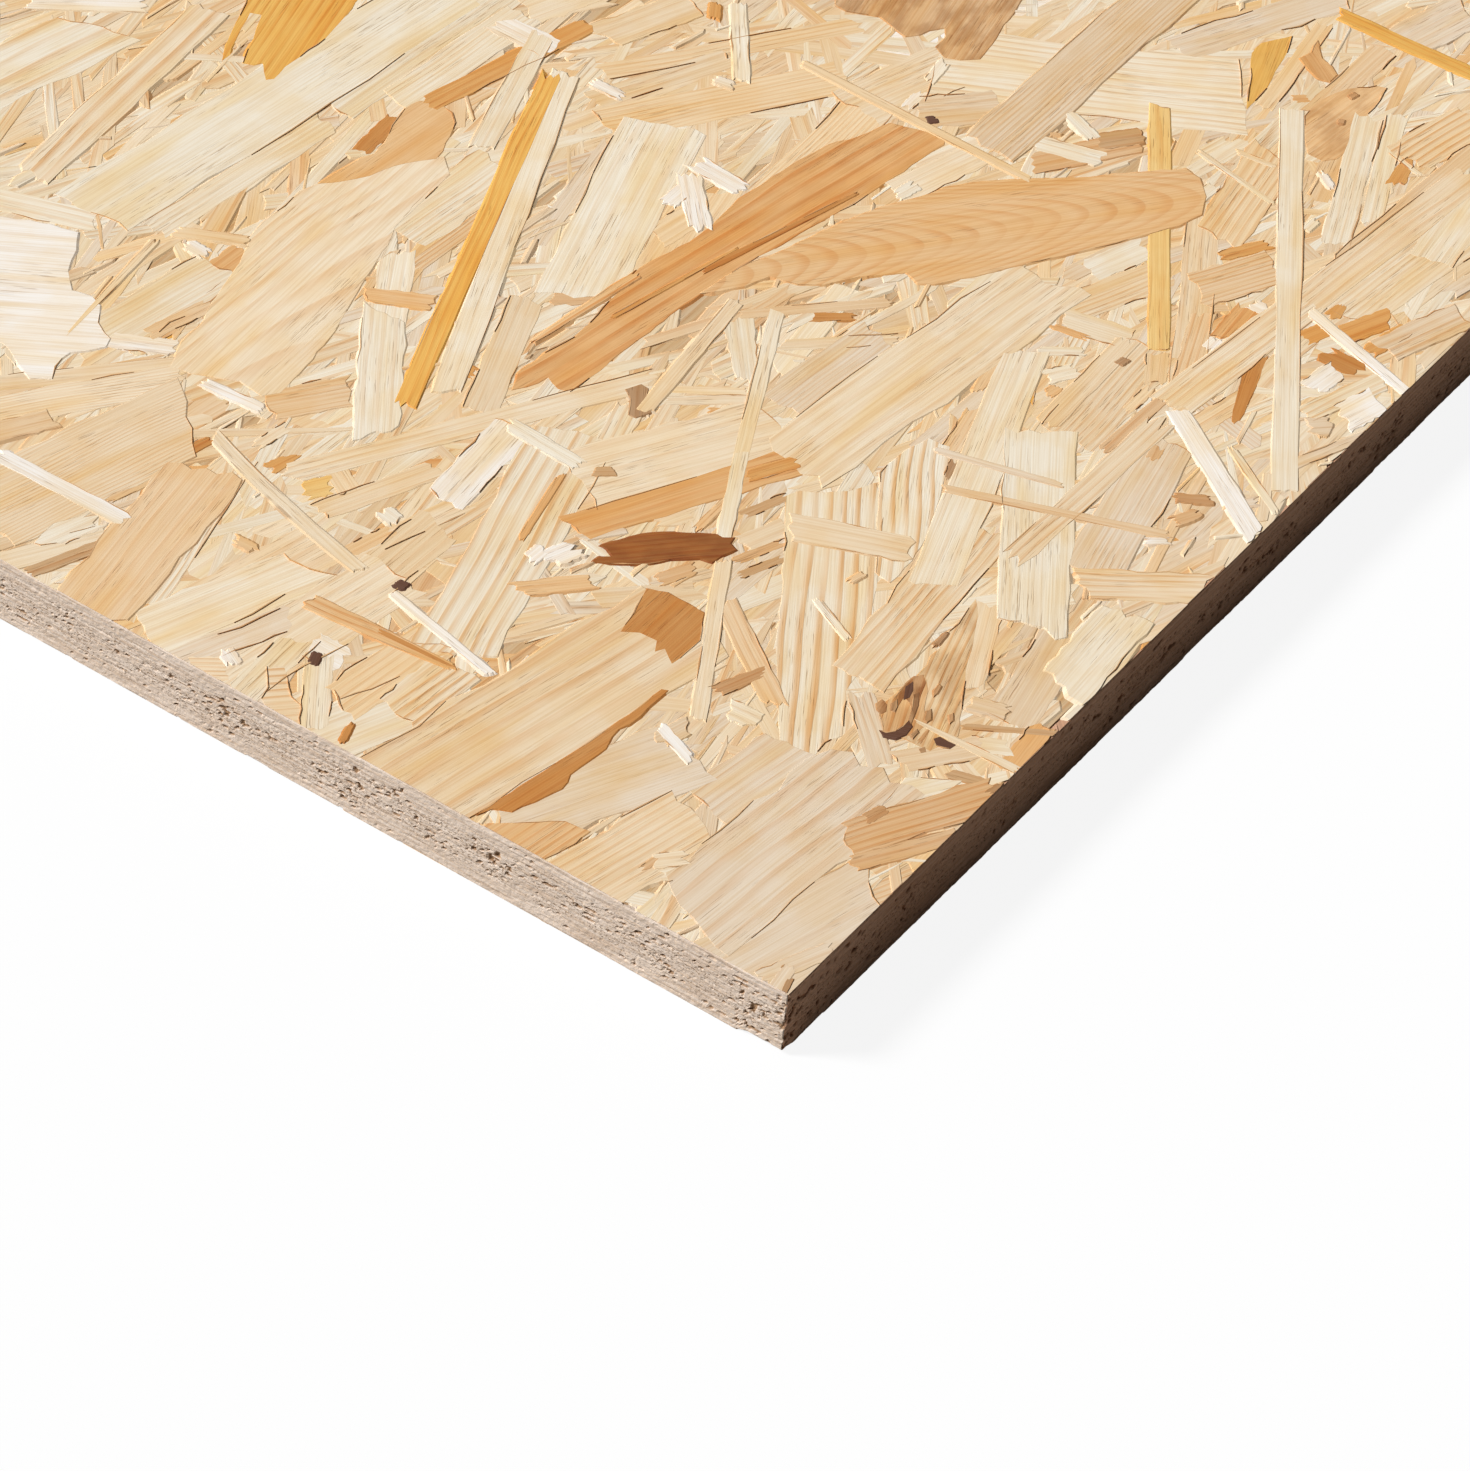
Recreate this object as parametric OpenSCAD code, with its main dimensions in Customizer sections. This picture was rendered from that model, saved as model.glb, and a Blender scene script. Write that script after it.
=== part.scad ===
// Oriented strand board panel: one pressed sheet with four square sawn edges.
// +X runs along the panel's length, which is also the grain of its face strands,
// +Y across its width and +Z through its thickness. The origin is the centre of the underside.

/* [Panel] */
// Length of the panel, along the face strands
panel_length = 2500; // [600:1:5000]
// Width of the panel, across the face strands
panel_width = 1250; // [300:1:2500]
// Thickness of the pressed board
panel_thickness = 18; // [6:0.5:40]

/* [Sawn edges] */
// How far the saw and handling have broken the sharp arris, measured along each face
arris_break = 0.4; // [0.1:0.1:2]

/* [Hidden] */
// Colour of the raw strands
strand_colour = [0.89, 0.78, 0.60];

// Outline of a sawn section: a rectangle centred on the origin, with each corner cut at 45 degrees.
module broken_rectangle(across, along, cut) {
    half_across = across / 2;
    half_along = along / 2;
    polygon([
        [cut - half_across, -half_along],
        [half_across - cut, -half_along],
        [half_across, cut - half_along],
        [half_across, half_along - cut],
        [half_across - cut, half_along],
        [cut - half_across, half_along],
        [-half_across, half_along - cut],
        [-half_across, cut - half_along],
    ]);
}

// The panel as seen from above, standing on the floor plane.
module face_outline() {
    linear_extrude(height = panel_thickness)
        broken_rectangle(panel_length, panel_width, arris_break);
}

// The panel's section across its width, drawn out along its length.
module width_section() {
    translate([0, 0, panel_thickness / 2])
        rotate([90, 0, 90])
            linear_extrude(height = panel_length, center = true)
                broken_rectangle(panel_width, panel_thickness, arris_break);
}

// The panel's section along its length, drawn out across its width.
module length_section() {
    translate([0, 0, panel_thickness / 2])
        rotate([90, 0, 0])
            linear_extrude(height = panel_width, center = true)
                broken_rectangle(panel_length, panel_thickness, arris_break);
}

// One pressed sheet: what the outline and the two sections have in common.
module osb_panel() {
    color(strand_colour)
        intersection() {
            face_outline();
            width_section();
            length_section();
        }
}

osb_panel();
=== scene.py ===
import math
from collections import namedtuple

import bpy
import numpy as np
from mathutils import Matrix, Vector, noise


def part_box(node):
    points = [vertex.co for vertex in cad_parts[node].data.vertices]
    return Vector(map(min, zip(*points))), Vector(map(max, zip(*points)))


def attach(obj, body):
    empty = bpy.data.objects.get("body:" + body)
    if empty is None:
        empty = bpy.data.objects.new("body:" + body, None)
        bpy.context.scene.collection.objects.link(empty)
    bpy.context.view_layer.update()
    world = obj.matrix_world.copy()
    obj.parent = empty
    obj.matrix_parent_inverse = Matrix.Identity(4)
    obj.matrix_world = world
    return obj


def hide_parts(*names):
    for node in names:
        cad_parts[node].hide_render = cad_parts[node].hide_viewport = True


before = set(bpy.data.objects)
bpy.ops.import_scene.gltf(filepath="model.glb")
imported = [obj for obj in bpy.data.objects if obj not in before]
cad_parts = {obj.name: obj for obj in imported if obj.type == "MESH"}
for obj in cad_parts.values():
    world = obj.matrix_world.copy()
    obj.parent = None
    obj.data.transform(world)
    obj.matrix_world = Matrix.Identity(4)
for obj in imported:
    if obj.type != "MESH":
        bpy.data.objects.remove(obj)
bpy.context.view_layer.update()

# Camera
# The photograph looks down on the panel's near corner through a long lens, a little rolled.
# Its place was fitted to the panel's edges, so that a pixel of it leads to a point on the face.
mm = 0.001
panel_low, panel_high = (Vector(corner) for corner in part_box("osb_panel"))
near_corner = Vector((panel_low.x, panel_low.y, panel_high.z))
photo_width = 1470
photo_height = 1471
focal_pixels = 7000
camera_from_corner = Vector((-872.0, -507.5, 1024.9)) * mm
camera_azimuth = math.radians(31.127)
camera_elevation = math.radians(43.381)
camera_roll = math.radians(5.771)

camera_data = bpy.data.cameras.new("photo_camera")
camera_data.lens = camera_data.sensor_width * focal_pixels / photo_height
camera = bpy.data.objects.new("photo_camera", camera_data)
quarter_turn = math.radians(90)
camera_turn = (
    Matrix.Rotation(camera_azimuth - quarter_turn, 4, "Z")
    @ Matrix.Rotation(quarter_turn - camera_elevation, 4, "X")
    @ Matrix.Rotation(camera_roll, 4, "Z")
)
camera.matrix_world = Matrix.Translation(near_corner + camera_from_corner) @ camera_turn
bpy.context.scene.collection.objects.link(camera)
bpy.context.scene.camera = camera


def on_top_face(pixel):
    """The point of the top face, as x and y, that shows at a pixel of the photograph."""
    across = (pixel[0] - photo_width / 2) / focal_pixels
    down = (pixel[1] - photo_height / 2) / focal_pixels
    sight = camera_turn.to_3x3() @ Vector((across, -down, -1))
    reach = -camera_from_corner.z / sight.z
    return np.array((near_corner + camera_from_corner + sight * reach)[:2])


# Strands of the two faces
# Softwood logs are cut along the grain into thin strands, which are glued, strewn mostly along the
# panel and pressed flat. The faces are these strands, torn at their ends and lying over each other.
strand_colours = {
    "white": (0.94, 0.89, 0.83),
    "ivory": (0.89, 0.81, 0.67),
    "cream": (0.87, 0.77, 0.61),
    "oat": (0.87, 0.73, 0.54),
    "straw": (0.84, 0.68, 0.48),
    "pearl": (0.80, 0.67, 0.52),
    "wheat": (0.78, 0.62, 0.44),
    "peach": (0.86, 0.66, 0.42),
    "sand": (0.81, 0.60, 0.38),
    "tan": (0.80, 0.53, 0.28),
    "nut": (0.72, 0.48, 0.27),
    "honey": (0.86, 0.60, 0.25),
    "amber": (0.83, 0.49, 0.13),
    "caramel": (0.76, 0.45, 0.20),
    "toffee": (0.71, 0.38, 0.13),
    "rust": (0.58, 0.28, 0.09),
    "drab": (0.61, 0.40, 0.22),
    "dusty": (0.57, 0.33, 0.16),
    "umber": (0.46, 0.28, 0.15),
    "bark": (0.34, 0.13, 0.033),
    "knot": (0.11, 0.05, 0.03),
}
colour_shares = {
    "white": 4, "ivory": 13, "cream": 21, "oat": 14, "straw": 16, "pearl": 7, "wheat": 4, "peach": 6,
    "sand": 7, "tan": 4, "nut": 2, "honey": 1, "amber": 2, "caramel": 3, "toffee": 2, "rust": 1,
    "drab": 1, "bark": 0.4,
}
pale_shares = {"ivory": 3, "cream": 5, "oat": 4, "straw": 4, "pearl": 2, "wheat": 1, "peach": 2, "sand": 2}
Strand = namedtuple("Strand", "points depth colour rings mottle slope")
strand_thickness = 0.7 * mm
pressed_slope = 1.5 * mm
end_width = (0.88, 1)
side_width = (0.87, 1.05)
end_slant = 0.25
steepest_slant = 0.2
taper_curve = 1.5
chance = np.random.default_rng(seed=18)


def strand_outline(length, width, tear, bow, taper, end_points, side_points):
    """A strand's outline in its own grain: two wavy long sides and two torn, slanting ends."""

    def half_width(along):
        from_blunt_end = (along * 2 / length * math.copysign(1, taper) + 1) / 2
        return width / 2 * (1 - abs(taper) * np.clip(from_blunt_end, 0, 1) ** taper_curve)

    spread = np.linspace(-1, 1, end_points)
    right_half = half_width(length / 2) * chance.uniform(*end_width)
    left_half = half_width(-length / 2) * chance.uniform(*end_width)
    slants = chance.normal(0, end_slant * width, 2)
    right_slant, left_slant = np.clip(slants, -steepest_slant * length, steepest_slant * length)
    right_loss = chance.uniform(0, tear, end_points) + abs(right_slant) / 2
    left_loss = chance.uniform(0, tear, end_points) + abs(left_slant) / 2
    right_torn = length / 2 - right_loss + right_slant / 2 * spread
    left_torn = left_loss - length / 2 + left_slant / 2 * spread
    upper_places = np.linspace(right_torn[-1], left_torn[0], side_points + 2)[1:-1]
    lower_places = np.linspace(left_torn[-1], right_torn[0], side_points + 2)[1:-1]
    upper_half = half_width(upper_places) * chance.uniform(*side_width, side_points)
    lower_half = half_width(lower_places) * chance.uniform(*side_width, side_points)
    grain = np.vstack([
        np.column_stack([right_torn, spread * right_half]),
        np.column_stack([upper_places, upper_half]),
        np.column_stack([left_torn, -spread * left_half]),
        np.column_stack([lower_places, -lower_half]),
    ])
    bent = grain.copy()
    bent[:, 1] += bow * (1 - (2 * grain[:, 0] / length) ** 2)
    return bent, grain


def sawn_off(points, cuts):
    """A strand's outline cut off at the saw's lines, each given by its inward normal and distance."""
    for normal_x, normal_y, distance in cuts:
        inside = points[:, 0] * normal_x + points[:, 1] * normal_y - distance
        if inside.min() >= 0:
            continue
        if inside.max() <= 0:
            return None
        kept = []
        next_points = np.roll(points, -1, 0)
        for here, there, depth, next_depth in zip(points, next_points, inside, np.roll(inside, -1)):
            if depth >= 0:
                kept.append(here)
            if (depth >= 0) != (next_depth >= 0):
                kept.append(here + (there - here) * depth / (depth - next_depth))
        points = np.array(kept)
    return points


clear_of_saw = 0.25 * mm
ragged_cut = 0.25 * mm
saw_cuts = [
    (1, 0, panel_low.x + clear_of_saw),
    (-1, 0, clear_of_saw - panel_high.x),
    (0, 1, panel_low.y + clear_of_saw),
    (0, -1, clear_of_saw - panel_high.y),
]
fewest_corners = 3
tone_scatter = 0.02


def laid_strand(centre, angle, outline, grain, colour, rings, cuts, mottle=0.0):
    """A strand at its place on a face, cut off at the panel's edges, or None where nothing is left."""
    turn = np.array([[math.cos(angle), math.sin(angle)], [-math.sin(angle), math.cos(angle)]])
    points = np.hstack([outline @ turn + centre, grain])
    loss = chance.uniform(0, ragged_cut)
    points = sawn_off(points, [(x, y, distance + loss) for x, y, distance in cuts])
    if points is None or len(points) < fewest_corners:
        return None
    tone = np.array(strand_colours[colour]) * chance.normal(1, tone_scatter)
    return Strand(points, 0, tone, rings, mottle, pressed_slope)


def inside_outline(outline, places):
    """Which of the places lie inside an outline."""
    inside = np.zeros(len(places), bool)
    for here, there in zip(outline, np.roll(outline, -1, 0)):
        if here[1] == there[1]:
            continue
        level = (here[1] > places[:, 1]) != (there[1] > places[:, 1])
        crossing = here[0] + (places[:, 1] - here[1]) * (there[0] - here[0]) / (there[1] - here[1])
        inside ^= level & (places[:, 0] < crossing)
    return inside


# Steps, and the least, most common and greatest lengths and widths, are in millimetres
Layer = namedtuple("Layer", "step length width end_points side_points tones")
strand_size = {"length": (45, 105, 148), "width": (6, 17, 36)}
sliver_size = {"length": (8, 20, 55), "width": (0.8, 2.0, 5)}
filler_size = {"length": (12, 28, 75), "width": (1.0, 3.0, 8)}
splinter_size = {"length": (3, 8, 24), "width": (0.3, 0.6, 1.3)}
ground_layer = Layer(step=(72, 17), **strand_size, end_points=2, side_points=2, tones=colour_shares)
upper_layer = Layer(step=(92, 20), **strand_size, end_points=4, side_points=2, tones=colour_shares)
sliver_layer = Layer(step=(50, 32), **sliver_size, end_points=2, side_points=2, tones=colour_shares)
filler_layer = Layer(step=(13, 6.5), **filler_size, end_points=3, side_points=2, tones=pale_shares)
splinter_layer = Layer(step=(20, 12), **splinter_size, end_points=2, side_points=1, tones=pale_shares)
shaken_apart = 0.6
strand_turn = math.radians(27)
bow_share = 0.012
longest_tear = 6 * mm
tear_share = 0.2
tapers = [0, 0, 0.3, 0.8]
ring_pitches = (1.2, 5)
ring_depths = (0.1, 0.9)
flare_scatter = 0.4
photo_frame = [(-15, -15), (1485, -15), (1485, 330), (785, 1000), (-15, 560)]
photo_zone = np.array([on_top_face(pixel) for pixel in photo_frame])


def strewn_layer(layer, cuts, clear_zone=None, only_zone=None):
    """One strewing of strands over a face, or one zone of it, in rows that are shaken well apart."""
    step_x, step_y = (step * mm for step in layer.step)
    low = panel_low[:2] if only_zone is None else only_zone.min(0)
    high = panel_high[:2] if only_zone is None else only_zone.max(0)
    tones = list(layer.tones)
    tone_chances = np.array(list(layer.tones.values())) / sum(layer.tones.values())
    strands = []
    for x in np.arange(low[0], high[0] + step_x, step_x):
        for y in np.arange(low[1], high[1] + step_y, step_y):
            shake = chance.uniform(-shaken_apart, shaken_apart, 2) * [step_x, step_y]
            centre = np.array([x, y]) + shake
            if only_zone is not None and not inside_outline(only_zone, centre[None]).all():
                continue
            length = chance.triangular(*layer.length) * mm
            width = chance.triangular(*layer.width) * mm
            bow = chance.normal(0, bow_share) * length
            tear = min(longest_tear, length * tear_share)
            taper = chance.choice(tapers)
            outline, grain = strand_outline(
                length, width, tear, bow, taper, layer.end_points, layer.side_points
            )
            pitch = chance.uniform(*ring_pitches)
            contrast = chance.uniform(*ring_depths)
            rings = (pitch, contrast, chance.normal(0, flare_scatter), chance.random())
            colour = chance.choice(tones, p=tone_chances)
            angle = chance.normal(0, strand_turn)
            strand = laid_strand(centre, angle, outline, grain, colour, rings, cuts)
            if strand is None:
                continue
            if clear_zone is not None and inside_outline(clear_zone, strand.points[:, :2]).any():
                continue
            strands.append(strand)
    chance.shuffle(strands)
    return strands


placed = []
# Thin dark slivers laid along strand sides are painted shade, standing in for the shade inside open cracks
# between strands
gap_shade_tones = ["dusty", "drab", "nut"]
gap_points = (3, 5)
gap_half_width = (0.05 * mm, 0.2 * mm)
gap_over = 0.1
straight_enough = 0.8
shortest_stride = 0.7 * mm


def lay_down(strand, over, gaps):
    """Adds a strand to those of the photograph, with thin dark slivers along parts of its sides: painted
    shade of open cracks.
    """
    placed.append((over, strand))
    for _ in range(gaps):
        first = chance.integers(len(strand.points))
        count = min(chance.integers(*gap_points), len(strand.points) - 1)
        run = strand.points[(first + np.arange(count)) % len(strand.points)]
        steps = np.diff(run[:, :2], axis=0)
        strides = np.hypot(*steps.T)
        turns = (steps[1:] * steps[:-1]).sum(1) / (strides[1:] * strides[:-1])
        if turns.min() < straight_enough or strides.min() < shortest_stride:
            continue
        along = np.gradient(run[:, :2], axis=0)
        outward = np.column_stack([along[:, 1], -along[:, 0]]) / np.hypot(*along.T)[:, None]
        opening = chance.uniform(*gap_half_width) * np.sin(np.linspace(0, math.pi, count))
        aside = np.hstack([outward, outward]) * opening[:, None]
        crack_shade_sliver = np.vstack([run + aside, (run - aside)[-2:0:-1]])
        colour = np.array(strand_colours[chance.choice(gap_shade_tones)])
        rings = (*strand.rings[:3], 0.0)
        placed.append((over + gap_over, Strand(crack_shade_sliver, 0, colour, rings, mottle=0.0, slope=0.0)))


laid_tear_share = 0.25


def lay(start, end, wide, tone, over=1, pitch=2.5, contrast=0.3, taper=0.0, tear=2.0, bow=0.0):
    """Lays a strand that the photograph shows, from pixel to pixel; its width and rings are in mm."""
    first = on_top_face(start)
    reach = on_top_face(end) - first
    length = np.hypot(*reach)
    tear = min(tear * mm, length * laid_tear_share)
    outline, grain = strand_outline(length, wide * mm, tear, bow * mm, taper, end_points=7, side_points=8)
    rings = (pitch, contrast, 0.0, chance.random())
    angle = math.atan2(reach[1], reach[0])
    strand = laid_strand(first + reach / 2, angle, outline, grain, tone, rings, saw_cuts)
    lay_down(strand, over, gaps=4)


torn_step = 3 * mm
torn_reach = 0.16 * mm


def torn_outline(spots):
    """A broken outline with more points along its sides, each a little off the straight line."""
    points = []
    for here, there in zip(spots, np.roll(spots, -1, 0)):
        parts = max(1, round(np.hypot(*(there - here)) / torn_step))
        points.append(here)
        for part in range(1, parts):
            points.append(here + (there - here) * part / parts + chance.normal(0, torn_reach, 2))
    return np.array(points)


def chip(corners, lie, tone, over=2, pitch=2.5, contrast=0.3, flare=0.0, mottle=0.0):
    """Lays a broken piece that the photograph shows, given by its corners and a step along its grain."""
    spots = np.array([on_top_face(corner) for corner in corners])
    next_spots = np.roll(spots, -1, 0)
    if (spots[:, 0] * next_spots[:, 1] - spots[:, 1] * next_spots[:, 0]).sum() < 0:
        spots = spots[::-1]
    spots = torn_outline(spots)
    middle = spots.mean(0)
    reach = on_top_face(np.array(corners[0]) + lie) - on_top_face(corners[0])
    along = reach / np.hypot(*reach)
    grain = np.column_stack([(spots - middle) @ along, (spots - middle) @ [-along[1], along[0]]])
    rings = (pitch, contrast, flare, chance.random())
    angle = math.atan2(along[1], along[0])
    strand = laid_strand(middle, angle, grain, grain, tone, rings, saw_cuts, mottle)
    lay_down(strand, over, gaps=5)


# The strands at the far left of the photograph, from the lowest to the uppermost
# Their tones grow paler towards the far left, partly painting in the light, which is brighter on that side of
# the face
lay(start=(-60, 150), end=(120, 60), wide=18, tone="oat", over=0, pitch=3)
lay(start=(-60, 250), end=(110, 200), wide=14, tone="ivory", over=0, pitch=2, contrast=0.4)
lay(start=(-60, 60), end=(150, -30), wide=22, tone="ivory", over=0, pitch=3)
lay(start=(100, 60), end=(260, -40), wide=18, tone="oat", over=0, pitch=2)
lay(start=(-40, 95), end=(120, 18), wide=20, tone="ivory", pitch=4.5, contrast=0.7)
lay(start=(20, 2), end=(150, 6), wide=4.8, tone="white", contrast=0.1)
lay(start=(-40, 190), end=(100, 222), wide=8, tone="ivory", pitch=2, contrast=0.5)
chip(
    corners=[(-40, 212), (30, 220), (62, 228), (78, 232), (76, 250), (68, 270), (72, 290), (92, 296),
             (100, 305), (98, 322), (104, 332), (110, 338), (106, 346), (88, 350), (70, 352), (55, 366),
             (52, 378), (30, 378), (14, 356), (2, 342), (-40, 332)],
    lie=(100, 8), tone="white", pitch=5, contrast=0.12,
)
lay(start=(30, 178), end=(215, 5), wide=9.8, tone="oat", over=2, pitch=4, contrast=0.9)
lay(start=(150, 232), end=(330, 120), wide=7.8, tone="cream", pitch=1.5)
lay(start=(190, 290), end=(248, 248), wide=7, tone="caramel", contrast=0.7)
lay(start=(95, 340), end=(230, 262), wide=14, tone="cream", pitch=1.4, contrast=0.45)
lay(start=(168, 230), end=(252, 241), wide=3.6, tone="peach", over=3)
lay(start=(184, 241), end=(208, 255), wide=3.7, tone="white", over=3)
lay(start=(330, 110), end=(520, -20), wide=12, tone="cream", pitch=2)
chip(
    corners=[(252, -40), (385, -40), (352, 8), (325, 38), (300, 56), (285, 66), (274, 78), (266, 79),
             (263, 62), (254, 64), (243, 62), (248, 48), (256, 30), (262, 14), (250, 12), (238, 34),
             (230, 54), (222, 60), (226, 44), (236, 22), (246, 2)],
    lie=(-65, 90), tone="amber", over=3, pitch=2.2, contrast=0.8,
)
lay(start=(85, 215), end=(470, -25), wide=21, tone="ivory", over=2, pitch=6, contrast=0.08)
lay(start=(65, 336), end=(157, 238), wide=2.1, tone="oat", over=3, taper=-0.8)
lay(start=(360, 152), end=(396, 116), wide=4.5, tone="rust", tear=1)
chip(
    corners=[(444, 156), (450, 174), (425, 198), (395, 226), (388, 244), (372, 268), (352, 300),
             (335, 330), (300, 372), (280, 392), (262, 395), (240, 380), (215, 376), (190, 372),
             (170, 366), (182, 340), (200, 325), (212, 302), (240, 262), (250, 236), (262, 222),
             (285, 205), (300, 190), (320, 182), (345, 176), (400, 160)],
    lie=(60, -57), tone="oat", pitch=4.5, contrast=0.5, flare=0.9,
)
chip(
    corners=[(318, 183), (345, 167), (362, 157), (375, 153), (385, 142), (392, 125), (405, 108),
             (420, 100), (440, 102), (452, 112), (455, 122), (450, 135), (443, 150), (436, 158),
             (420, 160), (395, 165), (370, 175), (340, 181)],
    lie=(60, -40), tone="tan", over=2.5, pitch=8, contrast=0.25,
)
lay(start=(390, 105), end=(530, 10), wide=10.5, tone="cream", over=2, pitch=1.5, contrast=0.4)
lay(start=(425, 105), end=(592, 22), wide=6.2, tone="toffee", over=3, pitch=2, contrast=0.6)
lay(start=(490, 18), end=(555, 50), wide=8, tone="white", over=3)
lay(start=(520, 10), end=(600, -20), wide=14, tone="oat")
lay(start=(545, 30), end=(480, 150), wide=6, tone="cream", over=3)
lay(start=(395, 235), end=(505, 160), wide=15.6, tone="cream", pitch=1.6, contrast=0.5)
lay(start=(400, 245), end=(385, 335), wide=8.4, tone="ivory")
lay(start=(570, 305), end=(668, 120), wide=20, tone="ivory", over=2, pitch=4, contrast=0.25)
lay(start=(567, 70), end=(445, 395), wide=6.8, tone="cream", over=2, contrast=0.15)
lay(start=(402, 412), end=(553, 70), wide=5.1, tone="amber", over=3, pitch=2, contrast=0.75, tear=4)
lay(start=(357, 293), end=(440, 303), wide=5.3, tone="tan", over=3)

# The strands at the middle of the far side
lay(start=(580, 60), end=(760, -30), wide=16, tone="straw", over=0, pitch=2)
lay(start=(720, 70), end=(900, -20), wide=18, tone="sand", over=0, pitch=3)
lay(start=(590, 160), end=(760, 100), wide=14, tone="straw", over=0, pitch=2)
lay(start=(590, 40), end=(700, 0), wide=10.5, tone="straw")
lay(start=(597, 72), end=(865, 22), wide=6.4, tone="peach", pitch=1.5, contrast=0.5)
lay(start=(590, 100), end=(735, 55), wide=7, tone="straw", contrast=0.5)
lay(start=(600, 125), end=(850, 75), wide=13, tone="peach", pitch=1.4, contrast=0.6)
lay(start=(738, 0), end=(742, 85), wide=4.1, tone="ivory", contrast=0.1)
lay(start=(716, 2), end=(714, 20), wide=2.8, tone="toffee")
lay(start=(590, 80), end=(625, 97), wide=3.2, tone="white")
lay(start=(712, 78), end=(736, 86), wide=3, tone="white")
lay(start=(640, 300), end=(720, 180), wide=14, tone="peach", pitch=3)
lay(start=(650, 240), end=(700, 210), wide=8, tone="peach")
lay(start=(665, 205), end=(695, 180), wide=4.4, tone="white", over=3)
lay(start=(690, 158), end=(748, 192), wide=5.6, tone="white", over=3, tear=3)
lay(start=(688, 170), end=(702, 232), wide=5.6, tone="white", over=3, tear=3)
lay(start=(750, 220), end=(880, 95), wide=12.5, tone="peach", pitch=1.2, contrast=0.5)
lay(start=(850, 110), end=(960, 60), wide=16, tone="straw", pitch=2)
lay(start=(890, 195), end=(985, 150), wide=9, tone="oat", pitch=1.6)
chip(
    corners=[(512, 389), (518, 372), (545, 352), (575, 336), (590, 322), (630, 278), (640, 267),
             (690, 241), (710, 226), (738, 198), (760, 185), (790, 165), (830, 143), (860, 135),
             (890, 122), (930, 132), (945, 137), (944, 144), (930, 152), (885, 182), (850, 205),
             (800, 232), (770, 250), (740, 266), (700, 294), (670, 314), (650, 331), (620, 352),
             (600, 370), (570, 391), (558, 388), (548, 376), (538, 382), (526, 386)],
    lie=(85, -52), tone="caramel", pitch=4, contrast=0.9, mottle=0.15,
)
lay(start=(530, 343), end=(640, 272), wide=2.6, tone="tan", over=2, pitch=2, contrast=1.2, taper=-0.6)
lay(start=(700, 272), end=(858, 192), wide=1.8, tone="rust", over=2.3, contrast=0.8, taper=0.5)
lay(start=(610, 318), end=(740, 246), wide=1.2, tone="toffee", over=2.3, contrast=0.8, taper=0.5)
lay(start=(895, 196), end=(920, 182), wide=4, tone="ivory")

# The strands at the far right
lay(start=(1000, 60), end=(1250, -40), wide=24, tone="straw", over=0, pitch=2)
lay(start=(1200, 120), end=(1475, -20), wide=30, tone="straw", over=0, pitch=3)
lay(start=(1300, 200), end=(1480, 60), wide=26, tone="straw", over=0, pitch=2.5)
lay(start=(1180, 300), end=(1300, 130), wide=26, tone="peach", over=0, pitch=2)
chip(
    corners=[(834, -30), (836, 5), (846, 10), (880, 16), (888, 22), (906, 36), (920, 34), (928, 30),
             (945, 27), (946, 36), (936, 46), (944, 56), (960, 59), (980, 58), (988, 48), (1000, 30),
             (1014, 12), (1024, -5), (1035, -30)],
    lie=(-50, 70), tone="nut", pitch=2, contrast=0.4, mottle=0.6,
)
lay(start=(925, 62), end=(1252, 97), wide=30, tone="cream", pitch=2.4, contrast=0.55, tear=1)
lay(start=(912, 112), end=(1005, 104), wide=12, tone="wheat", contrast=0.4)
lay(start=(926, 120), end=(938, 118), wide=2.4, tone="knot", over=3, tear=0.5)
lay(start=(905, 108), end=(925, 88), wide=3, tone="white")
lay(start=(928, 82), end=(948, 58), wide=3, tone="cream")
lay(start=(1025, 165), end=(1150, 138), wide=8, tone="nut", contrast=0.7)
lay(start=(985, 152), end=(1185, -25), wide=15.4, tone="wheat", over=2, pitch=1.2, contrast=0.55)
lay(start=(1030, 140), end=(1106, 160), wide=6, tone="ivory")
lay(start=(1068, 112), end=(1096, 140), wide=3.7, tone="ivory", over=3)
lay(start=(1095, 142), end=(1146, 134), wide=6, tone="drab", contrast=0.6)
lay(start=(1085, 272), end=(1152, 244), wide=8, tone="ivory")
lay(start=(1160, 103), end=(1159, 350), wide=5.1, tone="honey", over=2, pitch=3, contrast=0.4, tear=0.6)
lay(start=(1065, 310), end=(1170, 270), wide=10, tone="straw", pitch=1.3, contrast=0.7)
chip(
    corners=[(700, 293), (740, 267), (790, 247), (840, 223), (880, 207), (922, 196), (945, 187),
             (985, 181), (1035, 178), (1090, 177), (1150, 171), (1186, 168), (1200, 178), (1206, 196),
             (1202, 214), (1180, 225), (1140, 236), (1105, 245), (1075, 252), (1040, 260), (1010, 267),
             (975, 276), (935, 284), (918, 283), (905, 272), (860, 276), (825, 284), (798, 284),
             (770, 276), (745, 286)],
    lie=(100, -17), tone="tan", over=3, pitch=60, contrast=0.55, flare=3.6,
)
lay(start=(802, 62), end=(1032, 180), wide=2.4, tone="peach", over=4, contrast=0.15, tear=1)
lay(start=(1170, 50), end=(1345, -5), wide=10.4, tone="pearl")
chip(
    corners=[(1252, 52), (1262, 42), (1292, 35), (1287, 52), (1280, 63), (1267, 87), (1255, 100),
             (1247, 108), (1250, 83)],
    lie=(-20, 50), tone="amber", over=1, contrast=0.2, mottle=0.15,
)
lay(start=(1328, 20), end=(1262, 110), wide=4.5, tone="peach")
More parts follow.
